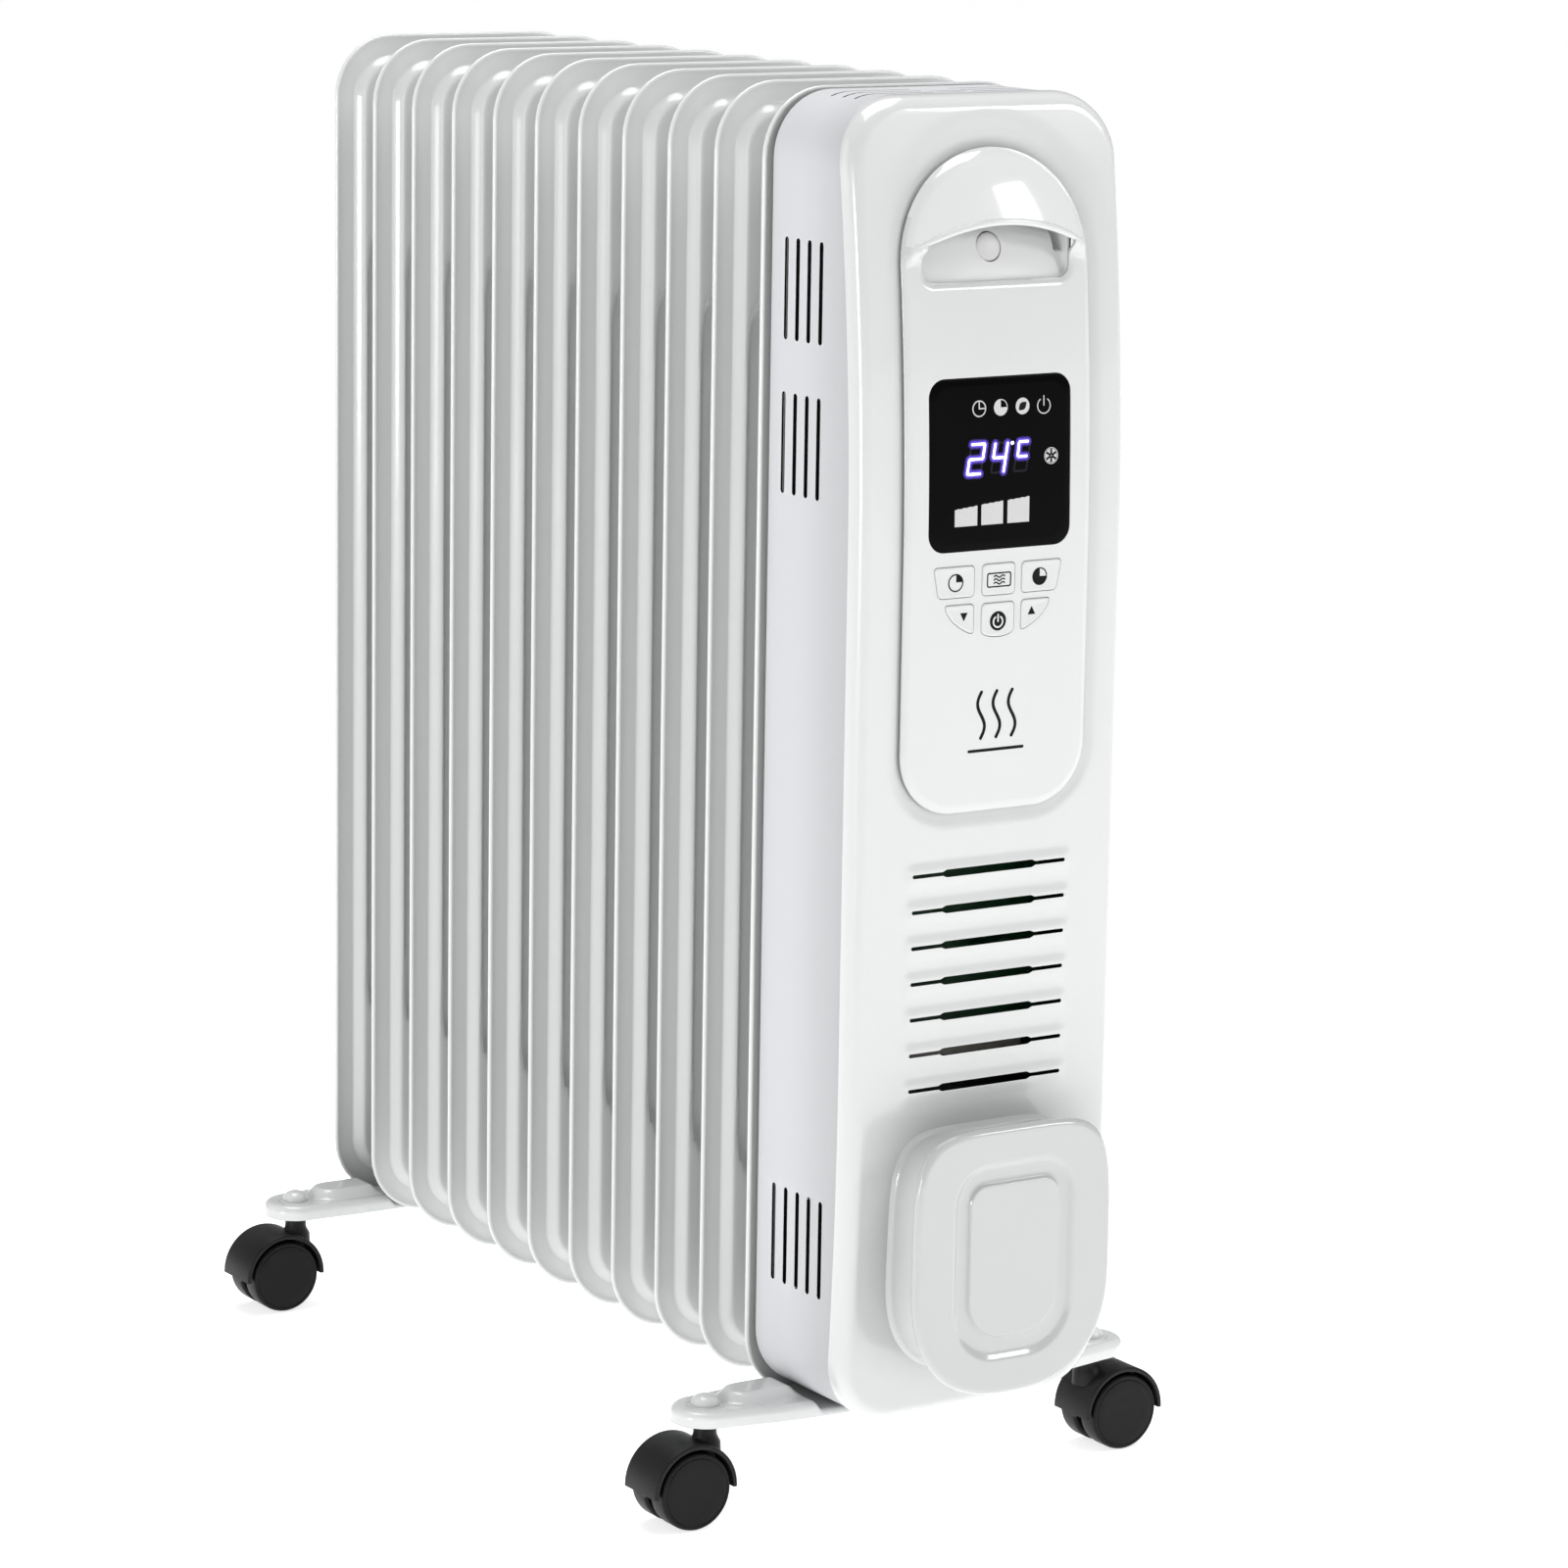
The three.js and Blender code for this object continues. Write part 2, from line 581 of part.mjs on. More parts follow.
// One foot bracket, pressed like a shallow tray, about its own middle. The flare is on one side.
function footBody(frontWaist) {
  const { stem, end, waist, sheet, shoulder, neck, bottom, top, middleTop, middleHalf } = FOOT;
  const outline = (inset) => {
    const shape = new THREE.Shape();
    shape.moveTo(-stem, -end + inset);
    shape.lineTo(-shoulder, -(end + frontWaist) / 2 + inset);
    shape.lineTo(-neck, -frontWaist + inset);
    shape.lineTo(neck, -frontWaist + inset);
    shape.lineTo(shoulder, -(end + frontWaist) / 2 + inset);
    shape.lineTo(stem, -end + inset);
    shape.absarc(stem, 0, end - inset, -Math.PI / 2, Math.PI / 2);
    shape.lineTo(60, waist - inset);
    shape.lineTo(-60, waist - inset);
    shape.lineTo(-stem, end - inset);
    shape.absarc(-stem, 0, end - inset, Math.PI / 2, Math.PI * 1.5);
    return shape;
  };
  const below = (reach, height) => block(-reach, reach, -FAR, FAR, height, top + 1);
  const outside = prismZ(outline(0), bottom, top, 4).subtract(below(middleHalf, middleTop));
  const inside = prismZ(outline(sheet), bottom - 1, top - sheet, 4).subtract(
    below(middleHalf + sheet, middleTop - sheet),
  );
  let body = cut(outside, inside);
  for (const side of [-1, 1]) {
    const [near, far] = side < 0 ? [-RIB.far, -RIB.near] : [RIB.near, RIB.far];
    const outer = roundedRect(near, far, -RIB.half, RIB.half, RIB.corner);
    const inner = roundedRect(near + 2, far - 2, 2 - RIB.half, RIB.half - 2, RIB.corner - 2);
    const rib = prismZ(outer, top - 1, RIB.top, 1);
    body = body.add(rib).subtract(prismZ(inner, bottom - 1, RIB.top - sheet, 1));
  }
  const hole = (radius, x, sides) => rodZ(radius, bottom - 2, top + 2, x, 0, sides);
  for (const x of [-stem, stem]) body = body.subtract(hole(RIVET.hole, x, 10));
  for (const x of [-BOLT.leg, BOLT.leg]) body = body.subtract(hole(BOLT.radius + 0.8, x, 8));
  return body;
}

// The U bolt that hangs a foot from a hub, and its wing nuts below the foot.
function uBolt() {
  const z = hubHeights[0];
  const arc = new THREE.Path();
  arc.absarc(0, 0, BOLT.leg, 0, Math.PI);
  const bend = arc.getPoints(4).map((at) => new THREE.Vector3(at.x, 0, z + at.y));
  const low = [BOLT.leg, -BOLT.leg].map((x) => new THREE.Vector3(x, 0, BOLT.bottom));
  const route = [low[0], ...bend, low[1]];
  const rings = route.map((at, i) => {
    const before = route[Math.max(0, i - 1)];
    const after = route[Math.min(route.length - 1, i + 1)];
    const along = after.clone().sub(before).normalize();
    const out = new THREE.Vector3(along.z, 0, -along.x);
    return Array.from({ length: 6 }, (_, k) => {
      const a = (Math.PI / 3) * k;
      const across = out.clone().multiplyScalar(Math.cos(a) * BOLT.radius);
      return at.clone().add(across).add(new THREE.Vector3(0, Math.sin(a) * BOLT.radius, 0));
    });
  });
  return loft(rings);
}

function wingNut() {
  const top = FOOT.middleTop - FOOT.sheet - GAP;
  const barrel = rodZ(BOLT.nut, top - WING.tall, top, 0, 0, 8);
  const wings = block(-WING.half, WING.half, -WING.thick, WING.thick, top - WING.tall + 0.5, top - 0.6);
  return joined(barrel, wings).subtract(rodZ(BOLT.radius + GAP, top - 8, top + 2, 0, 0, 8));
}

const feet = [
  { name: "front", y: footFront, flare: FOOT.flare },
  { name: "rear", y: footRear, flare: FOOT.waist },
];
for (const { name, y, flare } of feet) {
  part(`foot_${name}`, footBody(flare), paintedSteel()).position.y = y;
  part(`u_bolt_${name}`, uBolt(), zincSteel()).position.y = y;
  for (const [side, x] of [["left", -BOLT.leg], ["right", BOLT.leg]]) {
    part(`wing_nut_${name}_${side}`, wingNut(), zincSteel()).position.set(x, y, 0);
  }
}

// One castor about its swivel axis, trailing towards +X.
const axleZ = CASTOR.wheel;

function stemBody() {
  const head = new THREE.SphereGeometry(RIVET.head, 12, 8).scale(1, 1, RIVET.flat);
  const dome = solid(head.translate(0, 0, FOOT.top + GAP)).intersect(
    block(-9, 9, -9, 9, FOOT.top + GAP, FOOT.top + 9),
  );
  return joined(dome, rodZ(RIVET.pin, RIVET.bottom, FOOT.top + 1, 0, 0, 10));
}

function halfDisc(radius, low) {
  const shape = new THREE.Shape();
  shape.absarc(CASTOR.trail, axleZ, radius, 0, Math.PI);
  shape.lineTo(CASTOR.trail - radius, low);
  shape.lineTo(CASTOR.trail + radius, low);
  return shape;
}

function housingBody() {
  const { hood, hoodWall, half: depth, web, axle, trail, hub, stub, collar: neck } = CASTOR;
  const low = axleZ - 0.5;
  const room = prismY(halfDisc(hood - hoodWall, axleZ - 3), -depth - 1, depth + 1, 6);
  const shell = prismY(halfDisc(hood, low), -depth, depth, 6).subtract(room);
  const middle = prismY(halfDisc(hood - hoodWall + 0.5, low), -web, web, 3);
  const socket = rodY(hub, -web, web, trail, axleZ, 10);
  const stubs = rodY(axle, -stub, stub, trail, axleZ, 8);
  const collar = rodZ(neck, axleZ + hub, FOOT.bottom - 1, 0, 0, 10).subtract(room);
  const bore = rodZ(RIVET.pin + GAP, RIVET.bottom - 0.5, FOOT.top, 0, 0, 10);
  return joined(shell, middle, socket, stubs, collar).subtract(bore);
}

// One wheel about its own axis along Y, with its closed face towards +Y and a flat of its tread on
// the floor.
const WHEEL_SIDES = 20;
function wheelBody() {
  const { wheel, web, axle, half: depth } = CASTOR;
  const [inner, outer] = [web + 0.6, depth + 0.4];
  const tread = wheel / Math.cos(Math.PI / WHEEL_SIDES);
  const profile = [
    [0, outer],
    [tread - 1.4, outer],
    [tread, outer - 1.2],
    [tread, inner],
    [axle + GAP, inner],
    [axle + GAP, outer - 1.9],
    [0, outer - 1.9],
  ].reverse();
  const points = profile.map(([r, y]) => new THREE.Vector2(r, y));
  const turned = new THREE.LatheGeometry(points, WHEEL_SIDES);
  return solid(turned.rotateY(Math.PI / WHEEL_SIDES));
}

const housing = housingBody();
const wheelSolid = wheelBody();
const castors = feet.flatMap(({ name, y }) => [
  { name: `${name}_left`, x: -FOOT.stem, y, turn: Math.PI },
  { name: `${name}_right`, x: FOOT.stem, y, turn: 0 },
]);
for (const { name, x, y, turn } of castors) {
  const place = new THREE.Group();
  place.position.set(x, y, 0);
  place.rotation.z = turn;
  heater.add(place);
  const add = (label, body, material) => {
    const mesh = new THREE.Mesh(geometryOf(body), material);
    mesh.name = `castor_${name}_${label}`;
    place.add(mesh);
    return mesh;
  };
  add("stem", stemBody(), zincSteel());
  add("housing", housing, blackNylon());
  for (const [label, flip] of [["wheel_a", Math.PI], ["wheel_b", 0]]) {
    const wheel = add(label, wheelSolid, blackNylon());
    wheel.position.set(CASTOR.trail, 0, axleZ);
    wheel.rotation.x = flip;
  }
}

// ---------------------------------------------------------------- inlet gland for the mains lead
{
  const wall = BOX.bottom;
  const { x, y, radius, lip, thick, reach } = GLAND;
  const flange = rodZ(radius + lip, wall - thick, wall - GAP, x, y, 14);
  const sleeve = rodZ(radius, wall - thick, wall + reach, x, y, 12);
  const bore = rodZ(GLAND.bore, wall - 9, wall + 12, x, y, 10);
  part("cable_gland", joined(flange, sleeve).subtract(bore), blackNylon());
}

// ---------------------------------------------------------------- box pieces
part("side_shell", sideShell(), mattWhite());
part("front_cover", frontCover(), glossWhite());
part("control_fascia", controlFascia(), glossWhite());
part("handle_pocket", pocketBody(), glossWhite());

const eyeFace = BOX.front + lean(POCKET.eyeZ) + 5.2;
part(
  "receiver_window",
  rodY(POCKET.eye, eyeFace, eyeFace + 1.8, 0, POCKET.eyeZ, 14),
  plastic(0xd6d2d2, 0.2),
);

const glassShape = roundedRect(
  -DISPLAY.width / 2,
  DISPLAY.width / 2,
  DISPLAY.bottom,
  DISPLAY.top,
  DISPLAY.corner,
);
part(
  "display_window",
  through(glassShape).intersect(slab(fasciaFront + 0.1, fasciaBack - 0.1)),
  plastic(0x0d0d0e, 0.08),
);

for (const [name, points] of Object.entries(KEYS)) {
  const front = fasciaFront - KEY.proud;
  const body = through(polygon(points)).intersect(slab(front, front + KEY.depth));
  part(name, body, plastic(0xeff0ef, 0.3));
}

// The rubber mat behind the keys, with one button under each, on the display board.
{
  const back = fasciaFront - KEY.proud + KEY.depth;
  const mat = back + KEY.travel + 1;
  const face = mat + KEY_MAT.thick + 0.4;
  const panel = ({ half: wide, bottom, top }, corner, from, to) =>
    through(roundedRect(-wide, wide, bottom, top, corner), 1).intersect(slab(from, to));
  part("key_mat", panel(KEY_MAT, 3, mat, mat + KEY_MAT.thick), plastic(0x9c9c9a, 0.8));
  const board = panel(DISPLAY_BOARD, 2, face, face + DISPLAY_BOARD.thick);
  const digits = panel(DIGITS, 1, fasciaBack + 0.6, face + 0.6);
  part("display_board", board.add(digits), plastic(0x1f5f3a, 0.5));
}

// The cord winder: a core with a broad plate on its front, held by a screw from inside the cover.
{
  const { front, thick, lip, middle } = WINDER;
  const back = front + thick;
  const root = BOX.front - GAP;
  const plate = loft([
    winderLayer(-1.2, back),
    winderLayer(0, back - 1.2),
    winderLayer(0, back - 3.2),
    winderLayer(-1, front + 1.4),
    winderLayer(-3.4, front),
  ]);
  const core = loft([
    winderLayer(-lip, back - 1),
    winderLayer(-lip, BOX.front - 9),
    winderLayer(2 - lip, BOX.front - 3),
    winderLayer(5 - lip, BOX.front),
    winderLayer(5 - lip, BOX.front + 9),
  ]).intersect(slab(-FAR, root));
  const { half: wide, bottom, top, corner, width, depth } = RING;
  const island = roundedRect(width - wide, wide - width, bottom + width + 2, top - width, corner - width);
  const groove = cut(
    prismY(roundedRect(-wide, wide, bottom, top, corner), front - 1, front + depth),
    prismY(island, front - 2, front + depth + 1),
  );
  const hole = rodY(SCREW.hole, root - SCREW.bite, root + 2, 0, middle, 8);
  part("cord_winder_plate", cut(plate.add(core), groove, hole), glossWhite());
  const seat = BOX.front + BOX.wall + lean(middle) + GAP;
  const screw = joined(
    rodY(SCREW.shank, root - SCREW.bite + 1, seat + SCREW.headThick, 0, middle, 8),
    rodY(SCREW.head, seat, seat + SCREW.headThick, 0, middle, 8),
  );
  part("winder_screw", screw, zincSteel());
}

// ---------------------------------------------------------------- inside the control box
// A steel sheet keeps the fins' heat away from the electronics.
{
  const { half: wide, bottom, top, corner, front, back } = SHIELD;
  const sheet = prismY(roundedRect(-wide, wide, bottom, top, corner), front, back);
  const holes = hubHeights.map((z) => rodY(HUB.radius + 1, front - 5, back + 5, 0, z, 12));
  part("heat_shield", cut(sheet, ...holes), metal(0xa9adb0, 0.4));
}
// The supply board with its relays, on a bracket.
{
  const face = BOARD.front + 0.6;
  const { x, z, radius } = CAPACITOR;
  const board = block(-BOARD.half, BOARD.half, BOARD.front, BOARD.back, BOARD.bottom, BOARD.top);
  const relays = RELAYS.xs.map((at) =>
    block(at - RELAYS.half, at + RELAYS.half, RELAYS.front, face, RELAYS.bottom, RELAYS.top),
  );
  const supply = block(SUPPLY.left, SUPPLY.right, SUPPLY.front, face, SUPPLY.bottom, SUPPLY.top);
  const capacitor = rodY(radius, CAPACITOR.front, face, x, z, 10);
  part("power_board", joined(board, ...relays, supply, capacitor), plastic(0x2d6b44, 0.5));
}
{
  const { heights, half: wide, post, bar, front, back, foot } = BRACKET;
  const bars = heights.map((z) => block(-wide, wide, front, back, z - bar, z + bar));
  const posts = heights.map((z) => block(-post, post, back - 0.6, foot - 3, z - bar, z + bar));
  const spine = block(-post, post, foot - 5.5, foot, ...heights);
  const slot = block(
    -BOARD.half - 10,
    BOARD.half + 10,
    BOARD.front - 0.4,
    BOARD.back + GAP,
    BOARD.bottom - 1,
    BOARD.top + 1,
  );
  part("board_bracket", joined(...bars, ...posts, spine).subtract(slot), plastic(0xc8c6bd, 0.6));
}
{
  const { above, disc: radius, front, back, plate: wide, tabs } = CUT_OUT;
  const z = hubHeights[0] + above;
  const disc = rodY(radius, front, back, 0, z, 14);
  const neck = rodY(radius - 2.5, back - 1, back + 2, 0, z, 14);
  const plate = block(-wide, wide, back + 0.6, back + 2.7, z - 6, z + 6);
  const blades = tabs.map((x) => block(x, x + 2, front - 8, front + 1, z - 3, z + 3));
  part("thermal_cut_out", joined(disc, neck, plate, ...blades), zincSteel());
}
{
  const { left, right, front, back, bottom, lid, top } = SWITCH;
  const body = block(left, right, front, back, bottom, lid + 1);
  const cover = block(left - 2, right + 2, front - 2, back + 2, lid, top);
  part("tip_over_switch", joined(body, cover), plastic(0x3a3a3c, 0.5));
}

export default heater;
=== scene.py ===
"""Looks of the oil filled radiator heater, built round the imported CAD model.

Lengths are in millimetres in this file and turned into metres when a mesh is made. The front faces -Y.
"""

import math

import bmesh
import bpy
import numpy as np
from mathutils import Matrix, Vector


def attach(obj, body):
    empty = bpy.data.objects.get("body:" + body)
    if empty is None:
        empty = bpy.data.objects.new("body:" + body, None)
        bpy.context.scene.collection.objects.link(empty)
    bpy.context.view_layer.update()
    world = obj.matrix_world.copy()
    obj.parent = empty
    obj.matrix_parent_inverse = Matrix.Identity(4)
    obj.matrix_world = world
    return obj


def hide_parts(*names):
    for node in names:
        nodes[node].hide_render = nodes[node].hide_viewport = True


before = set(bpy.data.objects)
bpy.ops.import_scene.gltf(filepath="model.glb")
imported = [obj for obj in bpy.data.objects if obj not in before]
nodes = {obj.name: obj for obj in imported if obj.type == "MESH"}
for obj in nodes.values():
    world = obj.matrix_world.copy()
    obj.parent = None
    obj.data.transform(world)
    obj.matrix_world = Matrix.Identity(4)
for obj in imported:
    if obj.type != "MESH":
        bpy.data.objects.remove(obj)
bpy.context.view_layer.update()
MM = 0.001
HEATER = "heater"

# ---------------------------------------------------------------- sizes
FIN_COUNT, FIN_PITCH, FIN_FRONT = 11, 38.5, -145.0
FIN_HALF, FIN_LOW, FIN_HIGH, FIN_CORNER = 71.0, 44.5, 624.5, 30.0
HUB_HEIGHTS = (89.5, 579.5)
BOX_HALF, BOX_LOW, BOX_HIGH, BOX_CORNER, BOX_EDGE = 69.0, 49.0, 624.0, 29.0, 9.0
BOX_REAR, BOX_SEAM, BOX_FRONT = -149.0, -213.0, -223.0
EDGE_WIDE, SHELL_STEP = 6.0, 0.7
BOX_MID, BOX_TALL = (BOX_LOW + BOX_HIGH) / 2, (BOX_HIGH - BOX_LOW) / 2
PLATE_HALF, PLATE_LOW, DOME_Z, PLATE_CORNER, PLATE_PROUD = 47.8, 319.0, 554.2, 27.0, 2.5
WINDER_HALF, WINDER_LOW, WINDER_HIGH, WINDER_MID = 51.5, 64.5, 184.5, 118.0
WINDER_FRONT, WINDER_THICK, CORE_INSET = -250.0, 5.0, 5.5
WINDER_UPPER, WINDER_LOWER = 0.4, 0.8
STEM_X, TRAIL, WHEEL = 103.5, 12.0, 17.5
FOOT_FRONT_Y, FOOT_REAR_Y = -164.25, 220.75
FOOT_LOW, FOOT_TOP = 45.5, 52.5
COVER_WALL, SHELL_WALL, POCKET_WALL = 1.4, 0.9, 1.5


# ---------------------------------------------------------------- materials
def node_tree(name):
    material = bpy.data.materials.new(name)
    material.use_nodes = True
    tree = material.node_tree
    shader = next(n for n in tree.nodes if n.type == "BSDF_PRINCIPLED")
    return material, tree, shader


def fill(tree, node, inputs):
    """Sets a node's inputs, each to a value or to another node's output."""
    for key, value in inputs.items():
        if isinstance(value, bpy.types.NodeSocket):
            tree.links.new(value, node.inputs[key])
        else:
            node.inputs[key].default_value = value


def add(tree, kind, output, inputs, **settings):
    """Adds a node and gives back one of its outputs."""
    node = tree.nodes.new(f"ShaderNode{kind}")
    for key, value in settings.items():
        setattr(node, key, value)
    fill(tree, node, inputs)
    return node.outputs[output]


def own_place(tree):
    """The piece's own coordinates, in metres."""
    node = tree.nodes.get("Place") or tree.nodes.new("ShaderNodeTexCoord")
    node.name = "Place"
    return node.outputs["Object"]


def noise(tree, scale, detail=3.0, rough=0.5):
    inputs = {"Vector": own_place(tree), "Scale": scale, "Detail": detail, "Roughness": rough}
    return add(tree, "TexNoise", "Fac", inputs)


def mapped(tree, value, start, end, interpolation="LINEAR"):
    """Maps a value from one range onto another."""
    ranges = dict(zip(("From Min", "From Max", "To Min", "To Max"), (*start, *end)))
    return add(tree, "MapRange", "Result", {"Value": value, **ranges}, interpolation_type=interpolation)


def ramp(tree, value, low, high):
    """Turns a noise into a colour between low and high."""
    node = tree.nodes.new("ShaderNodeValToRGB")
    for element, position, color in zip(node.color_ramp.elements, (0.3, 0.7), (low, high)):
        element.position, element.color = position, (*color, 1)
    fill(tree, node, {"Fac": value})
    return node.outputs["Color"]


def darkened(tree, color, openness, darkest):
    """Multiplies a colour by darkest where openness is 0 and by 1 where it is 1."""
    level = mapped(tree, openness, (0, 1), (darkest, 1))
    return add(tree, "VectorMath", "Vector", {"Vector": color, "Scale": level}, operation="SCALE")


def coating(name, color, rough, coat=0.0, peel=0.25, grain=0.0, tint=0.006, metallic=0.0, shine=0.5,
            edge_lift=0.25, corner_shade=None, fade=None):
    """Paint or moulded plastic: slight tone drift, orange peel, fine grain and lighter, sharply convex edges.

    corner_shade is the reach in metres and the darkest tone of painted shade in corners and gaps, and
    fade is the open and the dark end along Y, in metres, and the tone at the dark end of a painted shade.
    """
    material, tree, shader = node_tree(name)
    low, high = ([min(1.0, c * k) for c in color] for k in (1 - tint, 1 + tint))
    shade = ramp(tree, noise(tree, 14, 4), low, high)
    # The colour is lighter on sharply convex edges.
    edge = mapped(tree, add(tree, "NewGeometry", "Pointiness", {}), (0.52, 0.62), (0, edge_lift))
    bright = (*[min(1.0, c * 1.12 + 0.01) for c in color], 1)
    result = add(tree, "Mix", "Result", {"Factor": edge, "A": shade, "B": bright}, data_type="RGBA")
    # Painted shade: the colour darkens in the corners and gaps that ambient occlusion finds.
    if corner_shade:
        openness = add(tree, "AmbientOcclusion", "AO", {"Distance": corner_shade[0]}, samples=6)
        result = darkened(tree, result, openness, corner_shade[1])
    # Painted shade: the colour darkens along Y towards the dark end.
    if fade:
        y = add(tree, "SeparateXYZ", "Y", {"Vector": own_place(tree)})
        openness = mapped(tree, y, (fade[1], fade[0]), (0, 1), "SMOOTHSTEP")
        result = darkened(tree, result, openness, fade[2])
    smudge = mapped(tree, noise(tree, 38, 5, 0.6), (0.25, 0.75), (rough * 0.94, rough * 1.06))
    layers = [(noise(tree, 420, 2), peel)]
    if grain:
        layers.append((noise(tree, 1800, 2, 0.7), grain))
    normal = {}
    for height, strength in layers:
        inputs = {"Height": height, "Strength": strength, "Distance": 0.0002, **normal}
        normal = {"Normal": add(tree, "Bump", "Normal", inputs)}
    fill(tree, shader, {
        "Base Color": result, "Roughness": smudge, "Metallic": metallic, "Specular IOR Level": shine,
        "Coat Weight": coat, "Coat Roughness": 0.06, **normal,
    })
    return material


def printed(name, color, glow=0.0, alpha=1.0):
    """Printed or lit sign, with a faint screen-print grain."""
    material, tree, shader = node_tree(name)
    tone = ramp(tree, noise(tree, 2500, 2), [c * 0.94 for c in color], color)
    fill(tree, shader, {"Base Color": tone, "Roughness": 0.5, "Specular IOR Level": 0.1, "Alpha": alpha})
    if glow:
        fill(tree, shader, {"Emission Color": (*color, 1), "Emission Strength": glow})
    return material


# Painted shade: the fins' paint darkens in the gaps between them and in their pressed webs.
FIN_PAINT = coating(
    "fin_paint", (0.76, 0.775, 0.77), 0.25, coat=0.8, peel=0.012, tint=0.003, edge_lift=0.02, corner_shade=(0.045, 0.6)
)
# Painted shade: the shell's paint darkens towards its seam with the cover.
SHELL_PAINT = coating(
    "shell_paint", (0.62, 0.625, 0.645), 0.48, peel=0.08, grain=0.15, tint=0.003, shine=0.4,
    fade=(-0.168, -0.214, 0.8),
)
# Painted shade: the gloss white darkens in corners and gaps, standing in for shadows such as the one beside
# the winder.
GLOSS = coating("gloss_white", (0.71, 0.725, 0.717), 0.22, coat=0.9, peel=0.02, corner_shade=(0.026, 0.5))
DOME_GLOSS = coating("mirror_white", (0.775, 0.79, 0.782), 0.12, coat=1.0, peel=0.015)
KEY_WHITE = coating("key_white", (0.69, 0.705, 0.7), 0.32, peel=0.05, grain=0.1)
# Painted shade: the feet's paint darkens in their tight corners.
FOOT_PAINT = coating("foot_paint", (0.75, 0.765, 0.76), 0.22, coat=0.7, peel=0.06, corner_shade=(0.006, 0.7))
# Painted shade: the winder plate is a darker copy of the cover's gloss white, to look shaded; its colour also
# darkens in corners and gaps.
WINDER_GLOSS = coating("winder_shaded_white", (0.55, 0.57, 0.562), 0.24, coat=1.0, peel=0.02, corner_shade=(0.004, 0.8))
# Painted light: the pocket is a lighter copy of the white moulding, lifting the shade of its walls.
POCKET_PAINT = coating("pocket_lit_white", (0.8, 0.81, 0.805), 0.4, peel=0.03)
EYE = coating("receiver_grey", (0.7, 0.69, 0.69), 0.35, coat=0.1, peel=0.03)
HOOD = coating("hood_nylon", (0.005, 0.005, 0.0053), 0.42, peel=0.3, grain=0.5, tint=0.15, shine=0.28)
WHEEL_BLACK = coating(
    "wheel_nylon", (0.0032, 0.0032, 0.0034), 0.4, peel=0.2, grain=0.45, tint=0.15, shine=0.2
)
# Black for the black parts, and also painted on hidden inner faces as painted shade.
BLACK = coating("black_and_inner_shade", (0.004, 0.004, 0.0045), 0.7, peel=0.2, grain=0.3, tint=0.1, shine=0.05)
ZINC = coating("zinc_steel", (0.62, 0.63, 0.65), 0.32, peel=0.1, grain=0.4, tint=0.08, metallic=1.0)
SHIELD = coating("shield_steel", (0.2, 0.2, 0.205), 0.5, peel=0.2, grain=0.3, tint=0.08, metallic=1.0)
BRASS = coating("element_brass", (0.6, 0.42, 0.16), 0.35, peel=0.2, grain=0.3, tint=0.1, metallic=1.0)
BOARD = coating("circuit_board", (0.02, 0.1, 0.045), 0.4, peel=0.3, grain=0.6, tint=0.25)
CREAM = coating("bracket_cream", (0.5, 0.48, 0.44), 0.5, peel=0.2, grain=0.3, tint=0.05)
SILICONE = coating("silicone_grey", (0.32, 0.32, 0.32), 0.7, peel=0.2, grain=0.4, tint=0.05)
GLASS = coating("display_glass", (0.0018, 0.0018, 0.0022), 0.14, peel=0.01, tint=0.2, shine=0.05)
INK = printed("black_ink", (0.008, 0.008, 0.009))
ICON = printed("icon_grey", (0.62, 0.62, 0.62))
LIT = printed("lit_segment", (0.93, 0.9, 1.0), glow=3.0)
UNLIT = printed("unlit_segment", (0.012, 0.011, 0.018))
HALOS = [printed(f"halo_{i}", (0.2, 0.13, 0.9), 1.2, a) for i, a in enumerate((0.24, 0.15, 0.09, 0.05))]


# ---------------------------------------------------------------- mesh helpers
def shown(name, data):
    """A new object in the scene."""
    thing = bpy.data.objects.new(name, data)
    bpy.context.scene.collection.objects.link(thing)
    return thing


def skin(rings, wrap=False, caps=False, closed=True):
    """Quads over rings of equal point counts. wrap joins the last ring to the first."""
    count = len(rings[0])
    verts = np.concatenate([np.asarray(r, float) for r in rings])
    faces = []
    for r in range(len(rings) if wrap else len(rings) - 1):
        here, there = r * count, ((r + 1) % len(rings)) * count
        for i in range(count if closed else count - 1):
            j = (i + 1) % count
            faces.append((here + i, here + j, there + j, there + i))
    if caps:
        faces += [tuple(range(count)), tuple(range(len(verts) - count, len(verts)))]
    return verts, faces


def clean(data, sharp, weld=True):
    """Removes faces without area and shades all but the sharp edges smooth."""
    mesh = bmesh.new()
    mesh.from_mesh(data)
    if weld:
        bmesh.ops.remove_doubles(mesh, verts=mesh.verts, dist=2e-6)
    bmesh.ops.dissolve_degenerate(mesh, edges=mesh.edges, dist=1e-7)
    if weld:
        bmesh.ops.recalc_face_normals(mesh, faces=mesh.faces)
    mesh.to_mesh(data)
    mesh.free()
    data.polygons.foreach_set("use_smooth", [True] * len(data.polygons))
    data.update()
    data.set_sharp_from_angle(angle=math.radians(sharp))


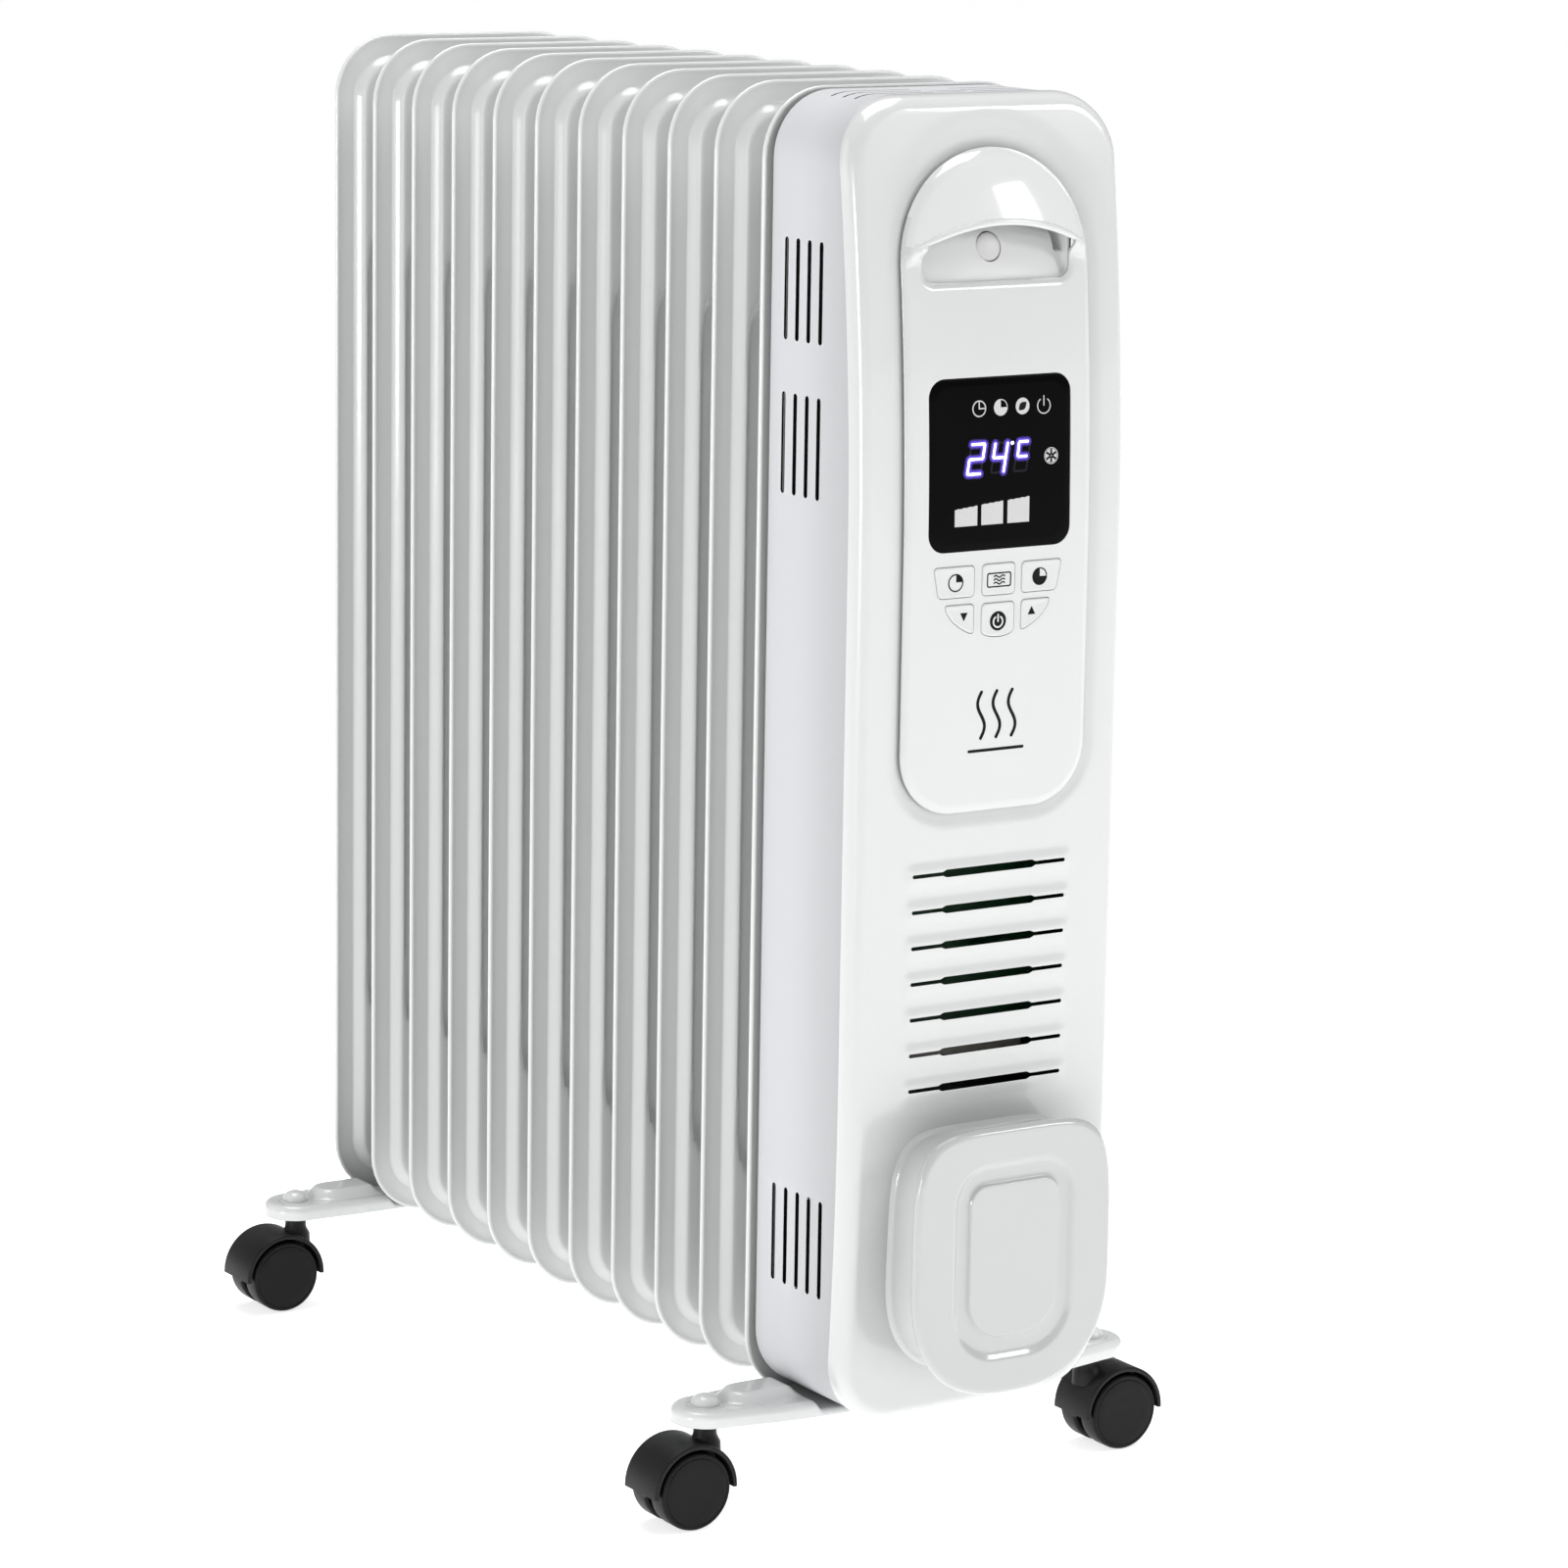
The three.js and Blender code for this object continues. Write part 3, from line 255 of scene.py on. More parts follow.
def build(name, parts, sharp=32.0):
    """One object from (verts, faces, material) parts, welded and facing outwards."""
    data = bpy.data.meshes.new(name)
    materials, verts, faces, slots, start = [], [], [], [], 0
    for points, polygons, material in parts:
        if material not in materials:
            materials.append(material)
        verts.append(np.asarray(points, float))
        faces += [tuple(start + i for i in f) for f in polygons]
        slots += [materials.index(material)] * len(polygons)
        start += len(points)
    data.from_pydata((np.concatenate(verts) * MM).tolist(), [], faces)
    data.polygons.foreach_set("material_index", slots)
    for material in materials:
        data.materials.append(material)
    clean(data, sharp)
    return shown(name, data)


def carve(thing, tools, sharp=38):
    """Cuts closed (verts, faces) tools out of an object."""
    tool = build("tool", [(*shape, GLOSS) for shape in tools])
    modifier = thing.modifiers.new("cut", "BOOLEAN")
    modifier.object, modifier.operation, modifier.solver = tool, "DIFFERENCE", "EXACT"
    graph = bpy.context.evaluated_depsgraph_get()
    thing.data = bpy.data.meshes.new_from_object(thing.evaluated_get(graph))
    thing.modifiers.clear()
    bpy.data.objects.remove(tool)
    clean(thing.data, sharp, weld=False)


def join(thing, other):
    """Makes another object a part of a thing."""
    both = [thing, other]
    with bpy.context.temp_override(
        active_object=thing, object=thing, selected_objects=both, selected_editable_objects=both
    ):
        bpy.ops.object.join()


def paint(thing, material, test):
    """Gives a material to the faces whose middle passes a test on x, y and z."""
    data = thing.data
    data.materials.append(material)
    middle = np.empty(len(data.polygons) * 3)
    data.polygons.foreach_get("center", middle)
    slots = np.empty(len(data.polygons), dtype=np.int32)
    data.polygons.foreach_get("material_index", slots)
    x, y, z = middle.reshape(-1, 3).T / MM
    slots[np.asarray(test(x, y, z))] = len(data.materials) - 1
    data.polygons.foreach_set("material_index", slots)


def place(thing, body, stands_for=()):
    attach(thing, body)
    if stands_for:
        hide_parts(*stands_for)
    return thing


def prism(points, low, high, axis="y"):
    """Closed solid from an outline across an axis."""
    points = np.asarray(points, float)
    return skin([np.insert(points, "xyz".index(axis), level, axis=1) for level in (low, high)], caps=True)


def turned(profile, count=48, axis="z", centre=(0, 0, 0)):
    """Closed solid of revolution from (radius, along) points that start and end on the axis."""
    radius, along = np.array(profile, float).T
    rings = []
    for a in 2 * math.pi * np.arange(count) / count:
        across = np.column_stack([radius * math.cos(a), radius * math.sin(a)])
        rings.append(np.insert(across, "xyz".index(axis), along, axis=1))
    verts, faces = skin(rings, wrap=True, closed=False)
    return verts + np.array(centre, float), faces


def circle(cx, cz, r, start=0.0, end=360.0, steps=40):
    """Points of a circle, or of an arc from start to end in degrees."""
    count = steps if end - start >= 360 else steps + 1
    angles = [math.radians(start + (end - start) * i / steps) for i in range(count)]
    return [(cx + r * math.cos(a), cz + r * math.sin(a)) for a in angles]


def rounded(left, right, low, high, radius, corner=8):
    """Outline of a rounded rectangle."""
    left, right, low, high = left + radius, right - radius, low + radius, high - radius
    points = []
    for cx, cz, start in ((right, low, -90), (right, high, 0), (left, high, 90), (left, low, 180)):
        points += circle(cx, cz, radius, start, start + 90, corner)
    return points


def capsule(u, low, high, width):
    """Outline of an upright slot with round ends."""
    r = width / 2
    return circle(u, high - r, r, 0, 180, 6) + circle(u, low + r, r, 180, 360, 6)


def ring_of(half_x, half_z, middle, radius, across, up, steps):
    """Rounded rectangle about x = 0. across and up are the places of the points along its sides, from 0 to
    1, and steps is the count in a corner, so that rings of many sizes match."""
    radius = max(0.0, min(radius, half_x, half_z))
    corners = np.array(
        rounded(-half_x, half_x, middle - half_z, middle + half_z, radius, steps)
    ).reshape(4, steps + 1, 2)
    points = []
    for k, shares in enumerate((up, across, 1 - up[::-1], across)):
        end, goal = corners[k][-1], corners[(k + 1) % 4][0]
        points += [corners[k], end + (goal - end) * shares[:, None]]
    return np.concatenate(points)


def at_y(points, y):
    return np.insert(points, 1, y, axis=1)


def smooth(low, high, value):
    t = np.clip((value - low) / (high - low), 0, 1)
    return t * t * (3 - 2 * t)


def lean(z):
    up = np.maximum(0, np.asarray(z, float) - 430)
    down = np.maximum(0, 200 - np.asarray(z, float))
    return 4.2e-4 * up * up + 2.7e-4 * down * down


def box_distance(x, z, cx, cz, hx, hz, r):
    """Signed distance to a rounded rectangle, negative inside."""
    qx = np.abs(x - cx) - hx + r
    qz = np.abs(z - cz) - hz + r
    outside = np.hypot(np.maximum(qx, 0), np.maximum(qz, 0))
    return outside + np.minimum(np.maximum(qx, qz), 0) - r


def plate_distance(x, z):
    """Signed distance to the fascia's outline."""
    low = box_distance(x, z, 0, PLATE_LOW + 300, PLATE_HALF, 300, PLATE_CORNER)
    return np.where(z > DOME_Z, np.hypot(x, z - DOME_Z) - PLATE_HALF, low)


def winder_distance(x, z, offset=0.0):
    """About the distance to the winder's outline grown by offset."""
    dz = z - WINDER_MID
    tall = np.where(dz > 0, WINDER_HIGH - WINDER_MID, WINDER_MID - WINDER_LOW) + offset
    power = np.where(dz > 0, 2 / WINDER_UPPER, 2 / WINDER_LOWER)
    k = ((np.abs(x) / (WINDER_HALF + offset)) ** power + (np.abs(dz) / tall) ** power) ** (1 / power)
    return np.hypot(x, dz) * (1 - 1 / np.maximum(k, 1e-6))


def winder_ring(offset, steps=24):
    points = []
    for i in range(4 * steps):
        a = 0.5 * math.pi * (i / steps)
        c, s = math.cos(a), math.sin(a)
        power = WINDER_UPPER if s > 0 else WINDER_LOWER
        tall = (WINDER_HIGH - WINDER_MID) if s > 0 else (WINDER_MID - WINDER_LOW)
        x = (WINDER_HALF + offset) * math.copysign(abs(c) ** power, c)
        z = WINDER_MID + (tall + offset) * math.copysign(abs(s) ** power, s)
        points.append((x, z))
    return even(np.array(points), 4 * steps)


def even(points, count):
    """The same closed outline with evenly spaced points."""
    loop = np.vstack([points, points[:1]])
    along = np.concatenate([[0], np.cumsum(np.hypot(*np.diff(loop, axis=0).T))])
    goal = np.linspace(0, along[-1], count, endpoint=False)
    return np.column_stack([np.interp(goal, along, loop[:, 0]), np.interp(goal, along, loop[:, 1])])


# ---------------------------------------------------------------- fins
def fin_height(inset):
    """Half thickness of a fin at a distance in from its edge, before the webs are pressed in."""
    knots = [0, 0.15, 0.5, 1.1, 1.8, 2.4, 9.0, 9.8, 10.8, 12.2, 13.2, 14.0, 14.8, 71]
    sizes = [0.35, 0.8, 1.15, 1.25, 1.1, 0.9, 0.9, 1.1, 2.1, 3.9, 5.0, 5.45, 5.5, 5.5]
    return np.interp(inset, knots, sizes)


def web_depth(x, z):
    """How far the two webs of a face are pressed in."""
    depth = np.zeros(len(x))
    for side in (-1, 1):
        d = box_distance(x, z, side * 31.0, 334.5, 24.0, 198, 18)
        depth = np.maximum(depth, 3.9 * smooth(1.2, -1.5, d))
    return depth


def fin_mesh():
    insets = [0, 0.15, 0.5, 1.1, 1.8, 2.4, 5.5, 9.2, 9.8, 10.4, 11.2, 12.0, 12.8, 13.6, 14.4, 15.4]
    insets += [16, 16.6, 17.2, 17.9, 18.8, 21, 24, 30, 38, 46]
    insets += [54, 60, 61.8, 62.6, 63.4, 64.2, 65, 66, 68.5, 71]
    low_end = [0.02, 0.05, 0.08, 0.1, 0.106, 0.112, 0.118, 0.124, 0.13, 0.14, 0.16, 0.2, 0.25]
    up = np.array(low_end + list(np.linspace(0.3, 0.7, 9)) + [1 - t for t in reversed(low_end)])
    middle, tall = (FIN_HIGH + FIN_LOW) / 2, (FIN_HIGH - FIN_LOW) / 2
    front, back = [], []
    for inset in insets:
        radius = FIN_CORNER - inset if inset < 14.5 else 15.6 - (inset - 14.4) * 0.3
        points = ring_of(FIN_HALF - inset, tall - inset, middle, radius, np.arange(1, 14) / 14, up, 10)
        size = fin_height(inset) - web_depth(points[:, 0], points[:, 1])
        front.append(at_y(points, -size))
        back.append(at_y(points, size))
    return skin(front[::-1] + back)


def hub(z, front, back):
    """The pressed hub on both faces, flared where it grows out of the plate."""
    profile = [(0, front)]
    profile += [(20.4, front), (21.4, front + 0.3), (21.9, front + 1.2)]
    profile += [(22, -13), (22.4, -10.5), (23.6, -8.2), (26, -6.5), (30, -5.6), (33, -5.2)]
    profile += [(33, 5.2), (30, 5.6), (26, 6.5), (23.6, 8.2), (22.4, min(10.5, back - 1))]
    if back > 14:
        profile += [(22, 13)]
    profile += [(21.9, back - 1.2), (21.4, back - 0.3), (20.4, back), (0, back)]
    return turned(profile, 40, "y", (0, 0, z))


plate = fin_mesh()
stub = FIN_PITCH / 2 - 0.12
fin_data = {}
for kind, reach in {"front": (-31, stub), "middle": (-stub, stub), "rear": (-stub, 8.5)}.items():
    fin_parts = (plate, *(hub(z, *reach) for z in HUB_HEIGHTS))
    made = build(f"fin_{kind}", [(*part, FIN_PAINT) for part in fin_parts], 40)
    fin_data[kind] = made.data
    bpy.data.objects.remove(made)
for index in range(FIN_COUNT):
    kind = "front" if index == 0 else "rear" if index == FIN_COUNT - 1 else "middle"
    thing = shown(f"fin_{index + 1:02d}_plate", fin_data[kind])
    thing.location.y = (FIN_FRONT + index * FIN_PITCH) * MM
    place(thing, HEATER, [f"fin_{index + 1:02d}"])


# ---------------------------------------------------------------- front cover
LOUVRE_TOP, LOUVRE_PITCH, LOUVRE_COUNT, LOUVRE_HALF = 293.0, 15.75, 7, 39.5


def cover_relief(x, z):
    """How far the cover's face lies behind its plain leaning face."""
    d = plate_distance(x, z)
    depth = 0.8 * smooth(7.0, 2.0, d)
    halo = smooth(560, 600, z) * 1.3
    depth = depth + halo * smooth(17, 2, d)
    ends = smooth(LOUVRE_HALF + 5.5, LOUVRE_HALF - 0.5, np.abs(x))
    for i in range(LOUVRE_COUNT):
        u = z - (LOUVRE_TOP - i * LOUVRE_PITCH)
        below = smooth(-8.0, -1.2, u) * (u < 0)
        above = smooth(6.5, 1.4, u) * (u >= 0)
        depth = depth - ends * (0.9 * below + 0.8 * above)
    return depth


def cover_face(x, z):
    return BOX_FRONT + lean(z) + cover_relief(x, z)


def cover_levels():
    """Heights of the cover's rows of points: close together round each louvre."""
    steps = np.array(
        [-8, -6.6, -5.3, -4.2, -3.3, -2.5, -1.85, -0.95, -0.2, 0.2, 0.95, 1.85, 2.7, 3.7, 4.9, 6.2]
    )
    rows = [LOUVRE_TOP - i * LOUVRE_PITCH + steps for i in range(LOUVRE_COUNT)]
    rows += [np.arange(122, LOUVRE_TOP - 6 * LOUVRE_PITCH - 9, 2.0), np.arange(LOUVRE_TOP + 7.5, 552, 1.75)]
    return np.sort(np.concatenate(rows))


def box_rings(thickness):
    """Rings over the cover from its seam to the middle of its face, pushed in by a thickness."""
    levels = cover_levels()
    deep, wide = BOX_EDGE - thickness, EDGE_WIDE - thickness
    rings = []

    def outline(d, corner):
        """One ring whose long sides have their points at the same heights as every other ring's."""
        low, high = BOX_LOW + d + corner, BOX_HIGH - d - corner
        heights = (levels - low) / (high - low)
        ends = np.arange(1, 7) / 7
        up = np.concatenate([heights[0] * ends, heights, heights[-1] + (1 - heights[-1]) * ends])
        return ring_of(BOX_HALF - d, BOX_TALL - d, BOX_MID, corner, np.arange(1, 40) / 40, up, 14)

    for y in (BOX_SEAM + 0.02, BOX_SEAM - 0.25):
        points = outline(thickness, BOX_CORNER - thickness)
        rings.append(at_y(points, y + lean(points[:, 1])))
    for i in range(10):
        a = 0.5 * math.pi * i / 10
        d = thickness + wide * (1 - math.cos(a))
        points = outline(d, BOX_CORNER - d)
        rings.append(at_y(points, BOX_FRONT + thickness + deep * (1 - math.sin(a)) + lean(points[:, 1])))
    for i in range(43):
        d = EDGE_WIDE + (BOX_HALF - EDGE_WIDE) * i / 42
        points = outline(d, max(0.0, (BOX_CORNER - EDGE_WIDE) * (1 - i / 24)))
        rings.append(at_y(points, cover_face(points[:, 0], points[:, 1]) + thickness))
    return rings


cover = build("front_cover_shell", [(*skin(box_rings(0)[::-1] + box_rings(COVER_WALL)), GLOSS)], 38)


def louvre_outline(z):
    """A long slot, thin at its ends and deeper over its middle."""
    half, step, thin, deep = LOUVRE_HALF, 23.0, 0.82, 1.7
    top = [(half, thin), (step + 1.2, thin), (step, deep - 0.3), (step - 0.8, deep)]
    top += [(-x, dz) for x, dz in top[::-1]]
    low = [(-half - 0.5, 0)] + [(x, -dz) for x, dz in top[::-1]] + [(half + 0.5, 0)]
    return [(x, z + dz) for x, dz in top + low]


def mouth_outline(half, low, radius, corner=6.0):
    """The opening behind the handle's lip: round lower corners and a round top."""
    right = circle(half - corner, low + corner, corner, -90, 0, 8)
    first = math.degrees(math.asin(min(1, (562 - DOME_Z) / radius)))
    return right + circle(0, DOME_Z, radius, first, 180 - first, 32) + [(-x, z) for x, z in right[::-1]]


tools = [prism(louvre_outline(LOUVRE_TOP - i * LOUVRE_PITCH), -240, -205) for i in range(LOUVRE_COUNT)]
tools.append(prism(rounded(-37.5, 37.5, 388, 511, 6), -240, -200))
tools.append(prism(mouth_outline(43.5, 543.5, 45.5), -250, -180))
carve(cover, tools)


def behind_face(x, y, z):
    """Whether a point lies inside the moulding or on the wall of a slot."""
    rim = box_distance(x, z, 0, BOX_MID, BOX_HALF, BOX_TALL, BOX_CORNER)
    short = np.clip(1 + rim / EDGE_WIDE, 0, 1)
    edge = BOX_EDGE * (1 - np.sqrt(1 - short**2))
    return (rim < -1.0) & (y - cover_face(x, z) - edge > 0.45)


# Painted shade: the cover's inside and the walls of its slots are painted black, so the slots look dark.
paint(cover, BLACK, behind_face)
place(cover, HEATER, ["front_cover"])


# ---------------------------------------------------------------- side shell
def shell_part():
    """The wrap from the front fin to the seam, as rings of (inset, y, share of the face's lean)."""
    outside = [(0.45, BOX_REAR, 0), (0.12, BOX_REAR - 0.12, 0), (0, BOX_REAR - 0.5, 0)]
    outside += [(0, BOX_REAR - 1 - 7.9 * i, i / 8) for i in range(1, 8)]
    outside += [(0, BOX_SEAM + 0.35, 1), (0.12, BOX_SEAM + 0.06, 1)]
    inside = [(SHELL_WALL, BOX_SEAM + 0.1, 1), (SHELL_WALL, -180, 0.5), (SHELL_WALL, BOX_REAR - 0.05, 0)]
    across, up = np.arange(1, 24) / 24, np.arange(1, 90) / 90
    rings = []
    for inset, y, follow in outside + inside:
        d = SHELL_STEP + inset
        points = ring_of(BOX_HALF - d, BOX_TALL - d, BOX_MID, BOX_CORNER - d, across, up, 12)
        rings.append(at_y(points, y + follow * lean(points[:, 1])))
    return skin(rings, wrap=True)


shell = build("side_shell_wrap", [(*shell_part(), SHELL_PAINT)], 38)
tools = []
for bottom, ys in (
    (518.5, (-160.8, -169.6, -178.5, -187.7)),
    (452.4, (-160.2, -169.2, -178.3, -187.5)),
    (103.8, (-162.5, -172.0, -181.3, -190.3, -199.6)),
):
    tools += [prism(capsule(y, bottom, bottom + 43.8, 2.9), -80, 80, "x") for y in ys]
for side in (-30, 30):
    for y in (-165, -174, -183):
        tools.append(prism([(side + v, y + u) for u, v in capsule(0, -20, 20, 1.3)], 600, 640, "z"))
carve(shell, tools)
# Painted shade: the shell's inner faces are painted black, so its slots look dark.
paint(shell, BLACK, lambda x, y, z: box_distance(x, z, 0, BOX_MID, BOX_HALF, BOX_TALL, BOX_CORNER) < -1.1)


def oval(profile):
    """An upright turned shape squeezed into an oval on the middle of the box's top."""
    verts, faces = turned(profile, 40)
    return verts * np.array([1, 0.62, 1]) + np.array([0, -180.0, BOX_HIGH - SHELL_STEP]), faces


# A shallow oval dish in the top.
carve(shell, [oval([(0, -3), (8.5, -3), (8.5, 3), (0, 3)])])
cup_profile = [
    (0, -1.7), (5.5, -1.6), (7.4, -1.1), (8.2, -0.35), (8.42, -0.05), (8.45, -0.9), (7.6, -1.9), (0, -2.4),
]
join(shell, build("cup", [(*oval(cup_profile), SHELL_PAINT)], 38))
place(shell, HEATER, ["side_shell"])


# ---------------------------------------------------------------- fascia with the handle's dome
PLATE_FRONT = BOX_FRONT - PLATE_PROUD
LIP_MIDDLE, LIP_DROP, LIP_HALF = 571.0, 12.0, 46.0
MOUTH_HALF, MOUTH_LOW = 38.0, 546.0


def lip(x):
    """Height of the handle's lower edge."""
    return LIP_MIDDLE - LIP_DROP * (np.asarray(x, float) / LIP_HALF) ** 2


def dome(x, z):
    """How far the handle's dome stands out of the fascia."""
    rho = np.hypot(x, np.maximum(z - DOME_Z, 0) * 0.98) / 46.6
    body = 9.0 * np.maximum(0, 1 - np.clip(rho, 0, 1) ** 2.4) ** 0.62
    return body * smooth(lip(x) - 6.5, lip(x) - 0.8, z)


def plate_face(x, z):
    rim = box_distance(x, z, 0, MOUTH_LOW + 40, MOUTH_HALF, 40, 6)
    soft = 1.3 * np.clip(1 - rim / 3.0, 0, 1) ** 2 * smooth(560, 552, z)
    return PLATE_FRONT + lean(z) - dome(x, z) + soft


def plate_ring(inset):
    half, corner, low = PLATE_HALF - inset, max(0.0, PLATE_CORNER - inset), PLATE_LOW + inset
    bend = circle(half - corner, low + corner, corner, -90, 0, 12)
    side = [bend[-1][1] + (DOME_Z - bend[-1][1]) * i / 200 for i in range(1, 200)]
    points = bend + [(half, z) for z in side] + circle(0, DOME_Z, half, 0, 180, 72)
    points += [(-half, z) for z in side[::-1]] + [(-x, z) for x, z in bend[::-1]]
    left, right = points[-1][0], points[0][0]
    return np.array(points + [(left + (right - left) * i / 24, low) for i in range(1, 24)])


def fascia_part():
    front, back = [], []
    for y in (BOX_FRONT - 0.25, BOX_FRONT - 0.9):
        points = plate_ring(0)
        front.append(at_y(points, y + lean(points[:, 1])))
    bevel = 3.7
    rises = (
        (0.15, 1.15), (0.5, 1.4), (1.2, 1.72), (2.1, 2.1), (2.7, 2.32), (3.1, 2.43), (bevel, PLATE_PROUD),
    )
    for inset, rise in rises:
        points = plate_ring(inset)
        front.append(at_y(points, plate_face(points[:, 0], points[:, 1]) + PLATE_PROUD - rise))
    for i in range(1, 42):
        points = plate_ring(bevel + (PLATE_HALF - bevel) * i / 41)
        front.append(at_y(points, plate_face(points[:, 0], points[:, 1])))
    for i in range(42):
        points = plate_ring(1.0 + (PLATE_HALF - 1.0) * i / 41)
        inner_dome = dome(points[:, 0] * 1.03, points[:, 1])
        back.append(at_y(points, BOX_FRONT - 0.25 + lean(points[:, 1]) - inner_dome))
    return skin(front[::-1] + back)


fascia = build("control_fascia_plate", [(*fascia_part(), GLOSS)], 30)


def soften(points, radius, steps=5):
    """Rounds the corners of a closed polygon."""
    points = [np.array(p, float) for p in points]
    out = []
    for i, here in enumerate(points):
        before, after = points[i - 1] - here, points[(i + 1) % len(points)] - here
        size_before, size_after = np.linalg.norm(before), np.linalg.norm(after)
        r = min(radius, size_before * 0.45, size_after * 0.45)
        a, b = here + before / size_before * r, here + after / size_after * r
        for t in np.arange(steps + 1) / steps:
            out.append((1 - t) ** 2 * a + 2 * t * (1 - t) * here + t * t * b)
    return np.array(out)


def shifted(points, distance):
    """A closed outline moved outwards by a distance (negative moves it in)."""
    points = np.asarray(points, float)
    follow = np.roll(points, -1, axis=0)
    area = 0.5 * np.sum(points[:, 0] * follow[:, 1] - follow[:, 0] * points[:, 1])
    tangent = 0
    for step in (follow - points, points - np.roll(points, 1, axis=0)):
        tangent = tangent + step / (np.linalg.norm(step, axis=1, keepdims=True) + 1e-9)
    tangent /= np.linalg.norm(tangent, axis=1, keepdims=True) + 1e-9
    normal = np.column_stack([tangent[:, 1], -tangent[:, 0]]) * (1 if area > 0 else -1)
    return points + normal * distance


KEYS = {
    "key_timer_on": [(-33.6, 426.1), (-30.9, 412.8), (-12.7, 412.8), (-12.7, 426.1)],
    "key_heat_mode": [(-8.5, 412.7), (8.3, 412.7), (8.3, 426.2), (-8.5, 426.2)],
    "key_timer_off": [(12.0, 412.8), (29.9, 412.8), (32.6, 426.1), (12.0, 426.1)],
    "key_down": [
        (-27.6, 409.6), (-26.6, 406.6), (-23.6, 402.6), (-18.9, 399.2), (-14.6, 397.1), (-12.7, 397.1),
        (-12.7, 409.6),
    ],
    "key_power": [
        (-8.5, 409.3), (-8.5, 396.4), (-4, 394.9), (0, 394.6), (4, 394.9), (8.3, 396.4), (8.3, 409.3),
    ],
    "key_up": [
        (12.0, 409.6), (12.0, 397.1), (13.9, 397.1), (18.2, 399.2), (22.9, 402.6), (25.9, 406.6),
        (26.9, 409.6),
    ],
}
key_outlines = {name: even(soften(points, 2.0), 96) for name, points in KEYS.items()}
arch = [MOUTH_HALF * math.cos(math.pi * i / 32) for i in range(33)]
mouth = circle(MOUTH_HALF - 6, MOUTH_LOW + 6, 6, -90, 0, 8) + [(x, float(lip(x))) for x in arch]
mouth += circle(-MOUTH_HALF + 6, MOUTH_LOW + 6, 6, 180, 270, 8)
outlines = [mouth, rounded(-36.65, 36.65, 432.35, 506.15, 8.1, 12)]
outlines += [shifted(points, 0.27) for points in key_outlines.values()]
carve(fascia, [prism(outline, -260, -190) for outline in outlines], 30)


def tube(path, radii, count=16):
    """Closed tube along a path that bends little in Y, with (depth, height) radii at each point."""
    path = np.asarray(path, float)
    turns = 2 * math.pi * np.arange(count)[:, None] / count
    rings = []
    for i, (here, (depth, height)) in enumerate(zip(path, radii)):
        along = path[min(i + 1, len(path) - 1)] - path[max(i - 1, 0)]
        along /= np.linalg.norm(along)
        side = np.cross(along, (0, 1, 0))
        side /= np.linalg.norm(side)
        rings.append(here + side * height * np.cos(turns) + np.cross(side, along) * depth * np.sin(turns))
    return skin(rings, caps=True)


# The rolled edge along the handle's lip.
bead, sizes = [], []
for i in range(49):
    x = 45.2 * math.sin(0.5 * math.pi * (i / 24 - 1))
    z = float(lip(x)) + 0.6
    bead.append((x, float(plate_face(np.array([x]), np.array([z + 0.4]))[0]) + 0.75, z))
    fade = math.sqrt(max(0.02, 1 - (x / 45.4) ** 6))
    sizes.append((1.25 * fade, 1.55 * fade))
join(fascia, build("lip_bead", [(*tube(bead, sizes), GLOSS)], 60))
place(fascia, HEATER, ["control_fascia"])
paint(
    fascia,
    DOME_GLOSS,
    lambda x, y, z: (z > 573.5) | ((z > lip(x) + 2.2) & (y < BOX_FRONT + lean(z) - 2.6)),
)


# ---------------------------------------------------------------- finger pocket and receiver window
def pocket_back(x, z):
    """Depth of the pocket's back wall behind the cover's plain face; its drop follows the lip."""
    level = z + (LIP_MIDDLE - lip(np.clip(x, -36, 36))) * 0.75
    heights = [545, 550, 555, 566, 569, 572, 576, 581]
    depth = np.interp(level, heights, [0.4, 1.2, 2.5, 4.9, 6.4, 10, 16, 20.6])
    corner = 12.0 * smooth(34.0, 35.6, np.abs(x)) * smooth(557.0, 559.0, z)
    return np.minimum(21.4, depth + corner)


def pocket_ring(grow):
    """Outline of the pocket: round lower corners, straight sides and a round top."""
    half, low, corner, radius = 38.3 + grow, 545.7 - grow, 6.3, 44.4 + grow
    right = circle(half - corner, low + corner, corner, -90, 0, 8)
    first = math.degrees(math.acos(half / radius))
    top = circle(0, DOME_Z, radius, first, 180 - first, 48)
    return even(np.array(right + top + [(-x, z) for x, z in right[::-1]]), 220)


def pocket_part():
    middle = np.array([0.0, 570.0])
    edge, outside = pocket_ring(0), pocket_ring(1.0)

    def wall(points, share, behind=0.0):
        """A ring at a share of the depth of the back wall, moved behind it."""
        x, z = points.T
        return at_y(points, BOX_FRONT + lean(z) + (pocket_back(x, z) + behind) * share)

    front, back = [], []
    for share in (
        0.03, 0.1, 0.18, 0.26, 0.34, 0.42, 0.5, 0.58, 0.66, 0.73, 0.79, 0.84, 0.88, 0.91, 0.935, 0.96,
    ):
        front.append(wall(middle + (edge - middle) * share, 1))
    for inset, share in ((1.2, 0.97), (0.6, 0.88), (0.2, 0.7), (0, 0.4), (0, 0.1), (0, -0.02)):
        front.append(wall(shifted(edge, -inset), share))
    for share in (-0.02, 0.5, 1.0):
        back.append(wall(outside, share, POCKET_WALL))
    for share in (0.96, 0.91, 0.86, 0.8, 0.73, 0.64, 0.54, 0.44, 0.34, 0.24, 0.14, 0.03):
        back.append(wall(middle + (outside - middle) * share, 1, POCKET_WALL))
    return skin(front + back, caps=True)


